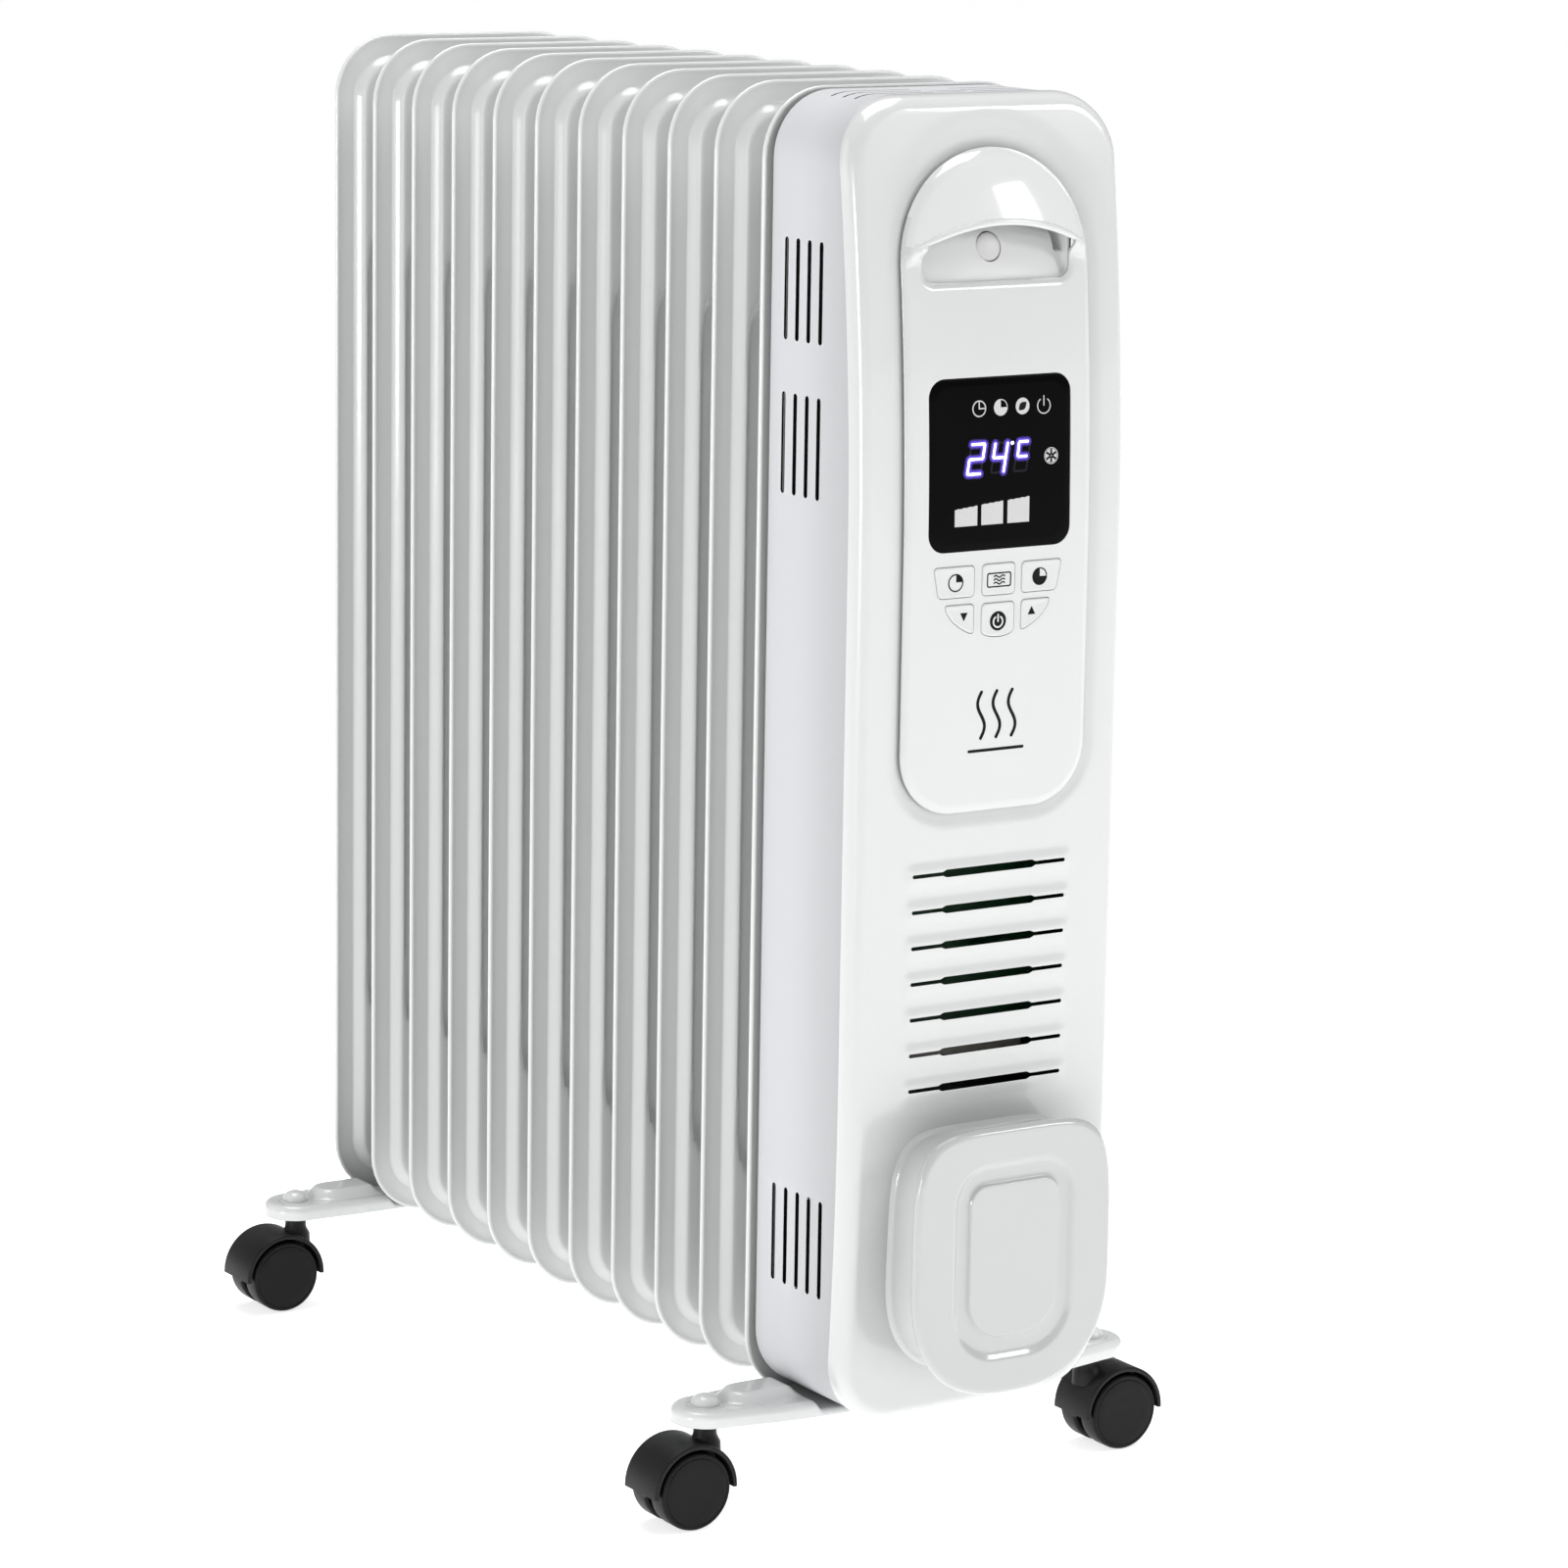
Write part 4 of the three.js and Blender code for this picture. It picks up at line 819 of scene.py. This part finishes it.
EYE_Z, EYE_TILT = 560.0, 0.215
eye_spot = np.array([0, BOX_FRONT + lean(EYE_Z) + float(pocket_back(0.0, EYE_Z)), EYE_Z])
pocket = build("handle_pocket_bowl", [(*pocket_part(), POCKET_PAINT)], 40)
carve(pocket, [turned([(0, -20), (6.35, -20), (6.35, 20), (0, 20)], 40, "y", eye_spot)], 40)
place(pocket, HEATER, ["handle_pocket"])
verts, faces = turned([(0, -0.28), (4.5, -0.2), (5.7, -0.02), (6.08, 0.3), (6.08, 1.6), (0, 1.6)], 48, "y")
verts = verts @ np.array(Matrix.Rotation(-EYE_TILT, 3, "X")).T + eye_spot
eye = build("receiver_window_disc", [(verts, faces, EYE)], 40)
place(eye, HEATER, ["receiver_window"])


# ---------------------------------------------------------------- display window
def glass_part():
    """The glass as nested rings, so that it bends with the leaning fascia."""
    outline, middle = np.array(rounded(-36.5, 36.5, 432.5, 506, 8, 12)), np.array([0, 469.25])
    levels = [(1, 2.0), (1, 0.35), (0.997, 0.12)]
    levels += [(scale, 0.04) for scale in (0.99, 0.9, 0.75, 0.6, 0.45, 0.3, 0.15, 0.02)]
    rings = [(middle + (outline - middle) * scale, y) for scale, y in levels]
    return skin([at_y(p, PLATE_FRONT + y + lean(p[:, 1])) for p, y in rings], caps=True)


glass = build("display_window_glass", [(*glass_part(), GLASS)], 40)
place(glass, HEATER, ["display_window"])


# ---------------------------------------------------------------- signs
def flat(groups, surface, thick, lift):
    """Thin closed solids from groups of loops in X and Z; in a group, inner loops are holes."""
    verts, faces, start = [], [], 0
    for loops in groups:
        curve = bpy.data.curves.new("sign", "CURVE")
        curve.dimensions, curve.fill_mode, curve.extrude = "2D", "BOTH", thick / 2
        for loop in loops:
            spline = curve.splines.new("POLY")
            spline.points.add(len(loop) - 1)
            for point, (x, z) in zip(spline.points, loop):
                point.co = (x, z, 0, 1)
            spline.use_cyclic_u = True
        thing = shown("sign", curve)
        graph = bpy.context.evaluated_depsgraph_get()
        data = bpy.data.meshes.new_from_object(thing.evaluated_get(graph))
        points = np.array([v.co for v in data.vertices]).reshape(-1, 3)
        verts.append(at_y(points[:, :2], surface(points[:, 1]) - lift - points[:, 2]))
        faces += [tuple(start + i for i in p.vertices) for p in data.polygons]
        start += len(points)
        bpy.data.objects.remove(thing)
        bpy.data.curves.remove(curve)
        bpy.data.meshes.remove(data)
    return np.concatenate(verts), faces


def stroke(points, width):
    """Outline of a line of constant width with round ends."""
    p = np.asarray(points, float)
    t = np.gradient(p, axis=0)
    t /= np.linalg.norm(t, axis=1, keepdims=True)
    n = np.column_stack([-t[:, 1], t[:, 0]]) * width / 2

    def end(centre, tangent):
        first = math.degrees(math.atan2(tangent[1], tangent[0])) + 90
        return circle(*centre, width / 2, first, first - 180, 6)[1:-1]

    return [tuple(v) for v in [*(p + n), *end(p[-1], t[-1]), *(p - n)[::-1], *end(p[0], -t[0])]]


def glass_y(z):
    return PLATE_FRONT + 0.04 + lean(z)


def sign(name, groups, material, surface, body=HEATER, lift=0.05, thick=0.05):
    place(build(name, [(*flat(groups, surface, thick, lift), material)], 30), body)


def clock_outline(cx, cz, r, w):
    """A ring with its upper right quarter filled."""
    corner = (cx + w * 0.4, cz + w * 0.4)
    return [[circle(cx, cz, r), circle(cx, cz, r - w)], [[corner] + circle(*corner, r - w * 0.9, 0, 90, 10)]]


def clock_hands(cx, cz, r, w):
    """A ring with a hand up and a hand to the right."""
    near, far = w / 2, r - w
    hands = [(-near, -near), (far, -near), (far, near), (near, near), (near, far), (-near, far)]
    return [[circle(cx, cz, r), circle(cx, cz, far)], [[(cx + u, cz + v) for u, v in hands]]]


def pie(cx, cz, r, w):
    """Disc with its upper right quarter open, still ringed by a thin line."""
    body = [(cx, cz)] + circle(cx, cz, r, 90, 360, 32)
    arc = circle(cx, cz, r, 2, 88, 10) + circle(cx, cz, r - w, 88, 2, 10)
    return [[body], [arc]]


def power_sign(cx, cz, r, w):
    bar = [(cx, cz + r * share) for share in (1.28, 0.6, 0.05)]
    return [[stroke(circle(cx, cz, r, 125, 415, 30), w)], [stroke(bar, w)]]


def wavy(start, end, sway, periods, steps, upright=False):
    """A line from start to end along X, or along Z where upright, that sways about it."""
    points = []
    for i in range(steps + 1):
        share = i / steps
        aside = sway * math.sin(2 * math.pi * periods * share)
        x, z = (s + (e - s) * share for s, e in zip(start, end))
        points.append((x + aside, z) if upright else (x, z + aside))
    return points


def leaf(cx, cz, r):
    left = [(-r + 2 * r * i / 12, 0.62 * r * math.sin(math.pi * i / 12)) for i in range(13)]
    c, s = math.cos(math.radians(40)), math.sin(math.radians(40))
    return [(cx + u * c - v * s, cz + u * s + v * c) for u, v in left + [(u, -v) for u, v in left[-2:0:-1]]]


ICON_Z, FROST = 492.8, (26.4, 470.8)
sign("sign_clock_outline", clock_hands(-10.9, ICON_Z, 3.55, 0.55), ICON, glass_y)
sign("sign_clock_filled", pie(0.2, ICON_Z, 3.55, 0.4), ICON, glass_y)
sign("sign_eco_disc", [[circle(11.5, ICON_Z, 3.55)]], ICON, glass_y)
sign("sign_eco_leaf", [[leaf(11.5, ICON_Z, 2.6)]], INK, glass_y, lift=0.11)
sign("sign_power", power_sign(22.6, ICON_Z - 0.4, 3.3, 0.5), ICON, glass_y)
frost = [[circle(*FROST, 3.6), circle(*FROST, 3.25)], [circle(*FROST, 3.0)]]
sign("sign_frost_disc", frost, ICON, glass_y)
arms = []
for base, tip in zip(circle(*FROST, 0.75, 90, 450, 6), circle(*FROST, 2.5, 90, 450, 6)):
    arms.append([stroke([base, ((tip[0] + base[0]) / 2, (tip[1] + base[1]) / 2), tip], 0.95)])
sign("sign_frost_arms", arms, INK, glass_y, lift=0.11)
for number, (x0, x1, z0, z1) in enumerate(
    ((-23.3, -11.7, 450.5, 451.7), (-9.6, 1.6, 452.0, 453.0), (3.9, 15.2, 453.1, 454.1))
):
    top = [(x1 - (x1 - x0) * i / 14, z1 - (z1 - z0) * i / 14 + 0.14 * math.sin(i * 1.7)) for i in range(15)]
    sign(f"sign_level_{number + 1}", [[[(x0, 443.2), (x1, 443.2)] + top]], ICON, glass_y)

SEGMENT_W = 0.98


def digit_segments(x, z, wide, tall, slant=0.18):
    """Seven bars of one digit, by letter, leaning to the right."""
    gap, half = 0.35, tall / 2
    across = (gap, wide / 2, wide - gap)
    low, high = (gap, half / 2, half - gap), (half + gap, half * 1.5, tall - gap)
    bars = {letter: [(u, v) for u in across] for letter, v in (("a", tall), ("g", half), ("d", 0))}
    for letter, u, side in (("f", 0, high), ("e", 0, low), ("b", wide, high), ("c", wide, low)):
        bars[letter] = [(u, v) for v in side]
    return {letter: [(x + u + slant * v, z + v) for u, v in bar] for letter, bar in bars.items()}


lit, dark = [], []
for x, wide, letters in ((-17.2, 6.9, "abged"), (-4.9, 6.4, "fgbc"), (6.9, 6.4, "")):
    for letter, line in digit_segments(x, 465.2, wide, 12.6).items():
        (lit if letter in letters else dark).append(line)
small = digit_segments(8.9, 471.4, 4.8, 6.3, 0.12)
lit += [small["a"], small["d"], [(8.9, 471.9), (9.25, 474.5), (9.6, 477.2)]]
layers = [("digits_unlit", dark, 0, UNLIT, 0.02, 0.02)]
for level, extra in enumerate((0.5, 1.2, 2.1, 3.2)):
    layers.append((f"digits_halo_{level + 1}", lit, extra, HALOS[level], 0.12 - 0.02 * level, 0.004))
layers.append(("digits_lit", lit, 0, LIT, 0.16, 0.05))
for name, lines, extra, material, lift, thick in layers:
    strokes = [[stroke(line, SEGMENT_W + extra)] for line in lines]
    sign(name, strokes, material, glass_y, lift=lift, thick=thick)
sign("digits_degree", [[circle(6.1, 477.4, 0.75)]], LIT, glass_y, lift=0.16)


# ---------------------------------------------------------------- keys
KEY_TOP = PLATE_FRONT - 0.55


def key_part(outline):
    """A key with soft edges and a slightly dished top."""
    rings = []
    for inset, sink in ((0, 4.4), (0, 0.55), (0.18, 0.2), (0.5, 0), (1.0, 0.02)):
        rings.append(at_y(shifted(outline, -inset), KEY_TOP + sink))
    middle, edge = outline.mean(0), shifted(outline, -1.0)
    for share, sink in ((0.86, 0.16), (0.6, 0.2), (0.3, 0.2), (0.02, 0.2)):
        rings.append(at_y(middle + (edge - middle) * share, KEY_TOP + sink))
    return skin(rings, caps=True)


def key_y(z):
    return np.full(len(z), KEY_TOP + 0.2)


for name, outline in key_outlines.items():
    place(build(f"{name}_cap", [(*key_part(outline), KEY_WHITE)], 35), f"{name}_body", [name])

heat = [[rounded(-6.3, 6.3, 416.0, 422.4, 1.0, 4), rounded(-5.65, 5.65, 416.6, 421.8, 0.6, 4)]]
heat += [[stroke(wavy((-2.6, z), (2.9, z), 0.45, 1.5, 18), 0.6)] for z in (417.75, 419.2, 420.65)]
for name, groups in {
    "timer_on": clock_outline(-22.4, 419.3, 3.9, 0.6),
    "timer_off": pie(21.2, 419.2, 3.85, 0.55),
    "heat": heat,
    "down": [[[(-19.8, 406.1), (-17.85, 402.5), (-15.9, 406.1)]]],
    "up": [[[(15.4, 403.0), (19.3, 403.0), (17.35, 406.6)]]],
    "power": [[circle(-0.1, 401.4, 4.2)]],
}.items():
    sign(f"sign_key_{name}", groups, INK, key_y, f"key_{'heat_mode' if name == 'heat' else name}_body")
sign("sign_key_power_mark", power_sign(-0.1, 401.1, 2.4, 0.72), KEY_WHITE, key_y, "key_power_body", lift=0.11)


# ---------------------------------------------------------------- generic heat sign
def plate_y(z):
    return PLATE_FRONT + lean(z)


mark = [[stroke(wavy((x, 351), (x, 371), 1.9, 1, 26, upright=True), 1.5)] for x in (-7.5, 0.5, 8.5)]
mark.append([stroke([(-13.5, 345.6), (0.5, 345.6), (14.5, 345.6)], 1.3)])
sign("heat_mark", mark, INK, plate_y)


# ---------------------------------------------------------------- cord winder
WINDER_CENTRE = np.array([0.0, 124.5])
WINDER_BACK = WINDER_FRONT + WINDER_THICK


def polar(field, grow, count=280):
    """Outline about the plate's middle of a distance field grown by a distance."""
    angle = 2 * math.pi * np.arange(count) / count
    way = np.column_stack([np.cos(angle), np.sin(angle)])
    near, far = np.zeros(count), np.full(count, 90.0)
    for _ in range(40):
        half = (near + far) / 2
        points = WINDER_CENTRE + way * half[:, None]
        inside = field(points[:, 0], points[:, 1], grow) < 0
        near, far = np.where(inside, half, near), np.where(inside, far, half)
    return WINDER_CENTRE + way * near[:, None]


def rounded_field(x, z, cz, hx, hz, upper, lower, grow):
    """Distance to a rounded rectangle whose upper and lower corners differ, grown by grow."""
    high, low = (box_distance(x, z, 0, cz, hx + grow, hz + grow, r + grow) for r in (upper, lower))
    return np.where(z > cz, high, low)


def recess(x, z, grow):
    return rounded_field(x, z, 124.75, 31, 43.25, 17, 23, grow)


def panel(x, z, grow):
    return rounded_field(x, z, 125.25, 23, 34, 8, 18, grow)


def winder_plate_part():
    edge = [(-2.2, 0), (-0.8, 0.3), (-0.15, 1.1), (0, 2.0)]
    for i in range(1, 9):
        a = 0.5 * math.pi * i / 8
        edge.append((-2.8 * (1 - math.cos(a)), 2.0 + 2.9 * math.sin(a)))
    rings = [at_y(polar(winder_distance, grow), WINDER_BACK - rise) for grow, rise in edge]
    rim, shoulder = polar(winder_distance, -2.8), polar(recess, 2.0)
    face = WINDER_FRONT + 0.1
    for i in range(1, 9):
        rings.append(at_y(rim + (shoulder - rim) * i / 9, face + 0.25 * i / 9))
    for grow, sink in (
        (2.0, 0.25), (1.2, 0.32), (0.4, 0.6), (-0.4, 1.05), (-1.2, 1.5), (-2.0, 1.78), (-2.8, 1.9),
    ):
        rings.append(at_y(polar(recess, grow), face + sink))
    rings.append(at_y((polar(recess, -3.6) + polar(panel, 1.3)) / 2, face + 1.9))
    for grow, sink in (
        (1.1, 1.85), (0.55, 1.55), (0.25, 0.95), (0.05, 0.6), (-0.2, 0.42), (-0.6, 0.36), (-1.4, 0.36),
    ):
        rings.append(at_y(polar(panel, grow), face + sink))
    edge = polar(panel, -1.4)
    for share in (0.85, 0.6, 0.35, 0.1):
        rings.append(at_y(WINDER_CENTRE + (edge - WINDER_CENTRE) * share, face + 0.36))
    return skin(rings, caps=True)


def core_part():
    """Core of the winder, from the cover's face to the back of the plate."""
    rings = []
    for grow, rise in ((2.4, -0.6), (1.5, 0.35), (0.7, 0.9), (0.2, 1.9), (0, 3.2)):
        points = winder_ring(-CORE_INSET + grow)
        rings.append(at_y(points, BOX_FRONT + lean(points[:, 1]) - rise))
    end = WINDER_BACK + 0.3
    for inset, y in ((0, -236), (0, end), (2.5, end), (2.5, BOX_FRONT + 1), (1, BOX_FRONT + 3)):
        rings.append(at_y(winder_ring(-CORE_INSET - inset), y))
    return skin(rings, wrap=True)


winder = build("cord_winder_plate_disc", [(*winder_plate_part(), WINDER_GLOSS), (*core_part(), GLOSS)], 50)
place(winder, HEATER, ["cord_winder_plate"])


# ---------------------------------------------------------------- feet
FOOT_STATIONS = [0, 14, 26, 40, 55, 66, 76, 85, 94, STEM_X]
FOOT_WIDE = [24, 24, 24, 23.64, 22.8, 22, 20.6, 19, 17.3, 15.5]
FOOT_SLIM = [17.8, 17.8, 17.8, 17.8, 17.7, 17.5, 17.2, 16.8, 16.2, 15.5]


def foot_top(x):
    return FOOT_TOP - 4.2 * smooth(60.5, 56.0, np.abs(x))


def foot_relief(x, y):
    """The hump along the arm of a foot and the groove round its rivet."""
    rim = box_distance(np.abs(x), y, 66, 0, 30.5, 12.2, 12)
    return 4.5 * smooth(0.4, -5.4, rim) * smooth(59, 66, np.abs(x))


def foot_groove(x, y):
    return 0.55 * np.exp(-((np.hypot(np.abs(x) - STEM_X, y) - 7.6) / 0.9) ** 2)


def foot_part(front):
    """A foot whose half width in front is given at the stations; the rear one is the slim row."""
    fine = np.linspace(0, STEM_X, 90)
    sides = []
    for row in (front, FOOT_SLIM):
        row = np.interp(fine, FOOT_STATIONS, row)
        row = np.concatenate([row[3:0:-1], row, [row[-1]] * 3])
        sides.append(np.convolve(row, np.ones(7) / 7, "valid"))
    points = list(zip(fine, -sides[0])) + circle(STEM_X, 0, 15.5, -90, 90, 32)[1:-1]
    points += list(zip(fine[::-1], sides[1][::-1]))
    outline = np.array(points + [(-x, y) for x, y in points[-2:0:-1]])
    # Both long sides share their stations, so the middle line closes point by point.
    spine = np.column_stack([np.clip(outline[:, 0], -STEM_X, STEM_X), np.zeros(len(outline))])
    rings = []

    def layer(points, z):
        rings.append(np.column_stack([points, np.broadcast_to(z, len(points))]))

    core = shifted(outline, -1.6)
    for share in (0.0, 0.3, 0.6, 0.8, 0.92, 1.0):
        p = spine + (core - spine) * share
        layer(p, foot_top(p[:, 0]) - 1.5 + (foot_relief(p[:, 0], p[:, 1]) if share < 0.9 else 0))
    for inset, z in ((1.6, 45.9), (1.3, FOOT_LOW), (0.3, FOOT_LOW), (0, 45.7), (0, 46.1)):
        layer(shifted(outline, -inset), z)
    edge = 3.4 - 1.2 * smooth(62.0, 56.0, np.abs(outline[:, 0]))
    for i in range(8):
        a = 0.5 * math.pi * i / 7
        p = shifted(outline, -(edge * (1 - math.cos(a)))[:, None])
        layer(p, foot_top(p[:, 0]) - edge + edge * math.sin(a))
    base = shifted(outline, -edge[:, None])
    for i in range(1, 31):
        p = spine + (base - spine) * (1 - i / 30)
        layer(p, foot_top(p[:, 0]) + foot_relief(p[:, 0], p[:, 1]) - foot_groove(p[:, 0], p[:, 1]))
    return skin(rings)


for name, y, front in (("foot_front", FOOT_FRONT_Y, FOOT_WIDE), ("foot_rear", FOOT_REAR_Y, FOOT_SLIM)):
    thing = build(f"{name}_pressing", [(*foot_part(front), FOOT_PAINT)], 50)
    thing.location.y = y * MM
    place(thing, HEATER, [name])


# ---------------------------------------------------------------- castors
def hood_part():
    """Half-round hood swept about the axle, with soft edges."""
    outer, inner, edge = 21.2, 19.05, 13.2
    section = []
    for r, y, size, start in (
        (outer - 0.9, edge - 0.9, 0.9, 0),
        (inner + 0.35, edge - 0.35, 0.35, 90),
        (inner + 0.35, -edge + 0.35, 0.35, 180),
        (outer - 0.9, -edge + 0.9, 0.9, 270),
    ):
        section += circle(r, y, size, start, start + 90, 4)
    rings = []
    for i in range(53):
        a = math.radians(-1.5 + 183 * i / 52)
        rings.append([(TRAIL + r * math.cos(a), y, WHEEL + r * math.sin(a)) for r, y in section])
    return skin(rings, caps=True)


web = circle(TRAIL, WHEEL, 19.3, -8, 188, 49) + circle(TRAIL, WHEEL, 7, 200, 340, 14)
# The collar only stands above the hood, so the wheels' room stays open.
collar = [
    (0, 30), (7.2, 30), (6.9, 35.6), (6.0, 37.2), (5.4, 38.4), (5.15, 39.8), (5.15, 43.8), (4.8, 44.5),
    (4.35, 44.5), (4.35, 40), (0, 40),
]
axle = turned([(0, -11.2), (2.4, -11.2), (2.4, 11.2), (0, 11.2)], 24, "y", (TRAIL, 0, WHEEL))
housing_parts = (hood_part(), prism(web, -2.0, 2.0), turned(collar, 40), axle)
tyre = [
    (0, 13.35), (11.0, 13.45), (14.6, 13.5), (15.0, 13.42), (15.2, 13.15), (15.5, 13.1), (15.8, 13.3),
    (16.3, 13.35), (16.9, 13.15), (17.3, 12.6), (17.5, 11.8), (17.5, 4.2), (17.35, 3.2), (16.8, 2.6),
    (15.9, 2.45), (15.4, 3.4), (5.2, 3.6), (5.0, 2.5), (2.75, 2.5), (2.75, 11.6), (0, 11.6),
]
head = [
    (0, 57.15), (2.2, 56.95), (4.2, 56.2), (5.6, 55.0), (6.35, 53.7), (6.45, 52.7), (6.3, 52.2), (0, 52.2),
]
pin = [(0, 52.4), (4.0, 52.4), (4.0, 47), (4.0, 41.2), (3.6, 40.4), (0, 40.4)]
castor_pieces = [
    build("castor_housing", [(*part, HOOD) for part in housing_parts], 40),
    build("castor_wheel", [(*turned(tyre, 72, "y"), WHEEL_BLACK)], 40),
    build("castor_stem", [(*turned(head, 40), FOOT_PAINT), (*turned(pin, 32), ZINC)], 40),
]
housing, wheel, stem = (piece.data for piece in castor_pieces)
hub_spot = Matrix.Translation((TRAIL * MM, 0, WHEEL * MM))
hub_turned = hub_spot @ Matrix.Rotation(math.pi, 4, "X")
for end, y in (("front", FOOT_FRONT_Y), ("rear", FOOT_REAR_Y)):
    for side, sign_x in (("left", -1), ("right", 1)):
        base = f"castor_{end}_{side}"
        spot = Matrix.Translation((sign_x * STEM_X * MM, y * MM, 0))
        if sign_x < 0:
            spot = spot @ Matrix.Rotation(math.pi, 4, "Z")
        for suffix, ending, data, offset, body, slot in (
            ("housing", "body", housing, Matrix(), f"{base}_swivel", "hood_nylon"),
            ("stem", "body", stem, Matrix(), HEATER, "zinc_steel"),
            ("wheel_a", "tyre", wheel, hub_turned, f"{base}_wheel_a", "wheel_nylon"),
            ("wheel_b", "tyre", wheel, hub_spot, f"{base}_wheel_b", "wheel_nylon"),
        ):
            thing = shown(f"{base}_{suffix}_{ending}", data)
            thing.matrix_world = spot @ offset
            place(thing, body, [f"{base}_{suffix}"])
for piece in castor_pieces:
    bpy.data.objects.remove(piece)


# ---------------------------------------------------------------- materials of the CAD nodes that stay
KEPT = {
    "u_bolt": ZINC, "wing_nut": ZINC, "winder_screw": ZINC, "upper_hub_cap": ZINC, "oil_filler_plug": ZINC,
    "thermal_cut_out": ZINC, "heat_shield": SHIELD, "heating_element": BRASS, "display_board": BOARD,
    "power_board": BOARD, "board_bracket": CREAM, "key_mat": SILICONE, "tip_over_switch": BLACK,
    "cable_gland": BLACK,
}
for name, thing in nodes.items():
    if not thing.hide_render:
        thing.data.materials.clear()
        thing.data.materials.append(next(m for key, m in KEPT.items() if name.startswith(key)))


# ---------------------------------------------------------------- floor, lights and camera
FLOOR_GLOW, WORLD_LIGHT, FLOOR_REACH, FLOOR_Z = 0.72, 0.34, 60.0, -0.0004


def studio_floor():
    """A pale disc just under the wheels, lit by itself as well, in metres."""
    material, tree, shader = node_tree("studio_floor")
    fill(tree, shader, {
        "Base Color": ramp(tree, noise(tree, 0.6, 2), (0.8, 0.8, 0.8), (0.82, 0.82, 0.82)),
        "Emission Color": (1, 1, 1, 1), "Emission Strength": FLOOR_GLOW, "Roughness": 0.9,
        "Specular IOR Level": 0.1,
    })
    data = bpy.data.meshes.new("floor")
    rim = circle(0, 0, FLOOR_REACH, 0, 360, 64)
    data.from_pydata([(x, y, FLOOR_Z) for x, y in rim], [], [tuple(range(len(rim)))])
    data.materials.append(material)
    return shown("floor", data)


def light(name, spot, aim, size, power):
    lamp = bpy.data.lights.new(name, "AREA")
    lamp.shape = "RECTANGLE"
    lamp.size, lamp.size_y = size
    lamp.energy = power
    thing = shown(name, lamp)
    thing.location = spot
    thing.rotation_mode = "QUATERNION"
    thing.rotation_quaternion = (Vector(aim) - Vector(spot)).to_track_quat("-Z", "Y")
    return thing


studio_floor()
world = bpy.data.worlds.new("studio")
world.use_nodes = True
world.node_tree.nodes["Background"].inputs["Color"].default_value = (1.0, 1.0, 1.0, 1)
world.node_tree.nodes["Background"].inputs["Strength"].default_value = WORLD_LIGHT
bpy.context.scene.world = world
light("window", (1.9, -2.35, 1.55), (0, -0.22, 0.58), (0.64, 0.7), 13)
light("left_strip", (-3.3, -0.65, 0.36), (0, -0.1, 0.33), (0.4, 0.68), 19)
light("rear_left", (-2.2, 1.4, 1.2), (0, 0, 0.3), (1.2, 1.6), 5)
front_fill = light("front_fill", (1.25, -1.75, 3.0), (0, -0.2, 0.3), (1.3, 1.0), 24)
front_fill.visible_glossy = False
left_front = light("left_front", (-2.1, -2.5, 0.9), (0, 0, 0.3), (0.6, 1.6), 8)
light("top", (0.2, 0.5, 3.0), (0, 0, 0.3), (2.0, 2.0), 56)
# One light is flagged off the front mouldings, so that the winder throws its shadow to the left.
flagged = bpy.data.collections.new("flagged")
for thing in (cover, winder, fascia, pocket):
    flagged.objects.link(thing)
for item in flagged.collection_objects:
    item.light_linking.link_state = "EXCLUDE"
left_front.light_linking.receiver_collection = flagged

camera = bpy.data.cameras.new("camera")
camera.sensor_width = 36.0
camera.lens = 125.51
camera.clip_start, camera.clip_end = 0.05, 60.0
azimuth, elevation, roll = (math.radians(a) for a in (-32.88, 11.059, 0.929))
level = math.cos(elevation)
back = Vector((math.sin(azimuth) * level, -math.cos(azimuth) * level, math.sin(elevation)))
flat_right = (-back).cross(Vector((0, 0, 1))).normalized()
flat_up = flat_right.cross(-back)
right = math.cos(roll) * flat_right + math.sin(roll) * flat_up
up = -math.sin(roll) * flat_right + math.cos(roll) * flat_up
view = shown("camera", camera)
turn = Matrix((right, up, back)).transposed().to_4x4()
view.matrix_world = Matrix.Translation((-1.3268, -2.1121, 0.7793)) @ turn
bpy.context.scene.camera = view
bpy.context.scene.view_settings.view_transform = "Standard"
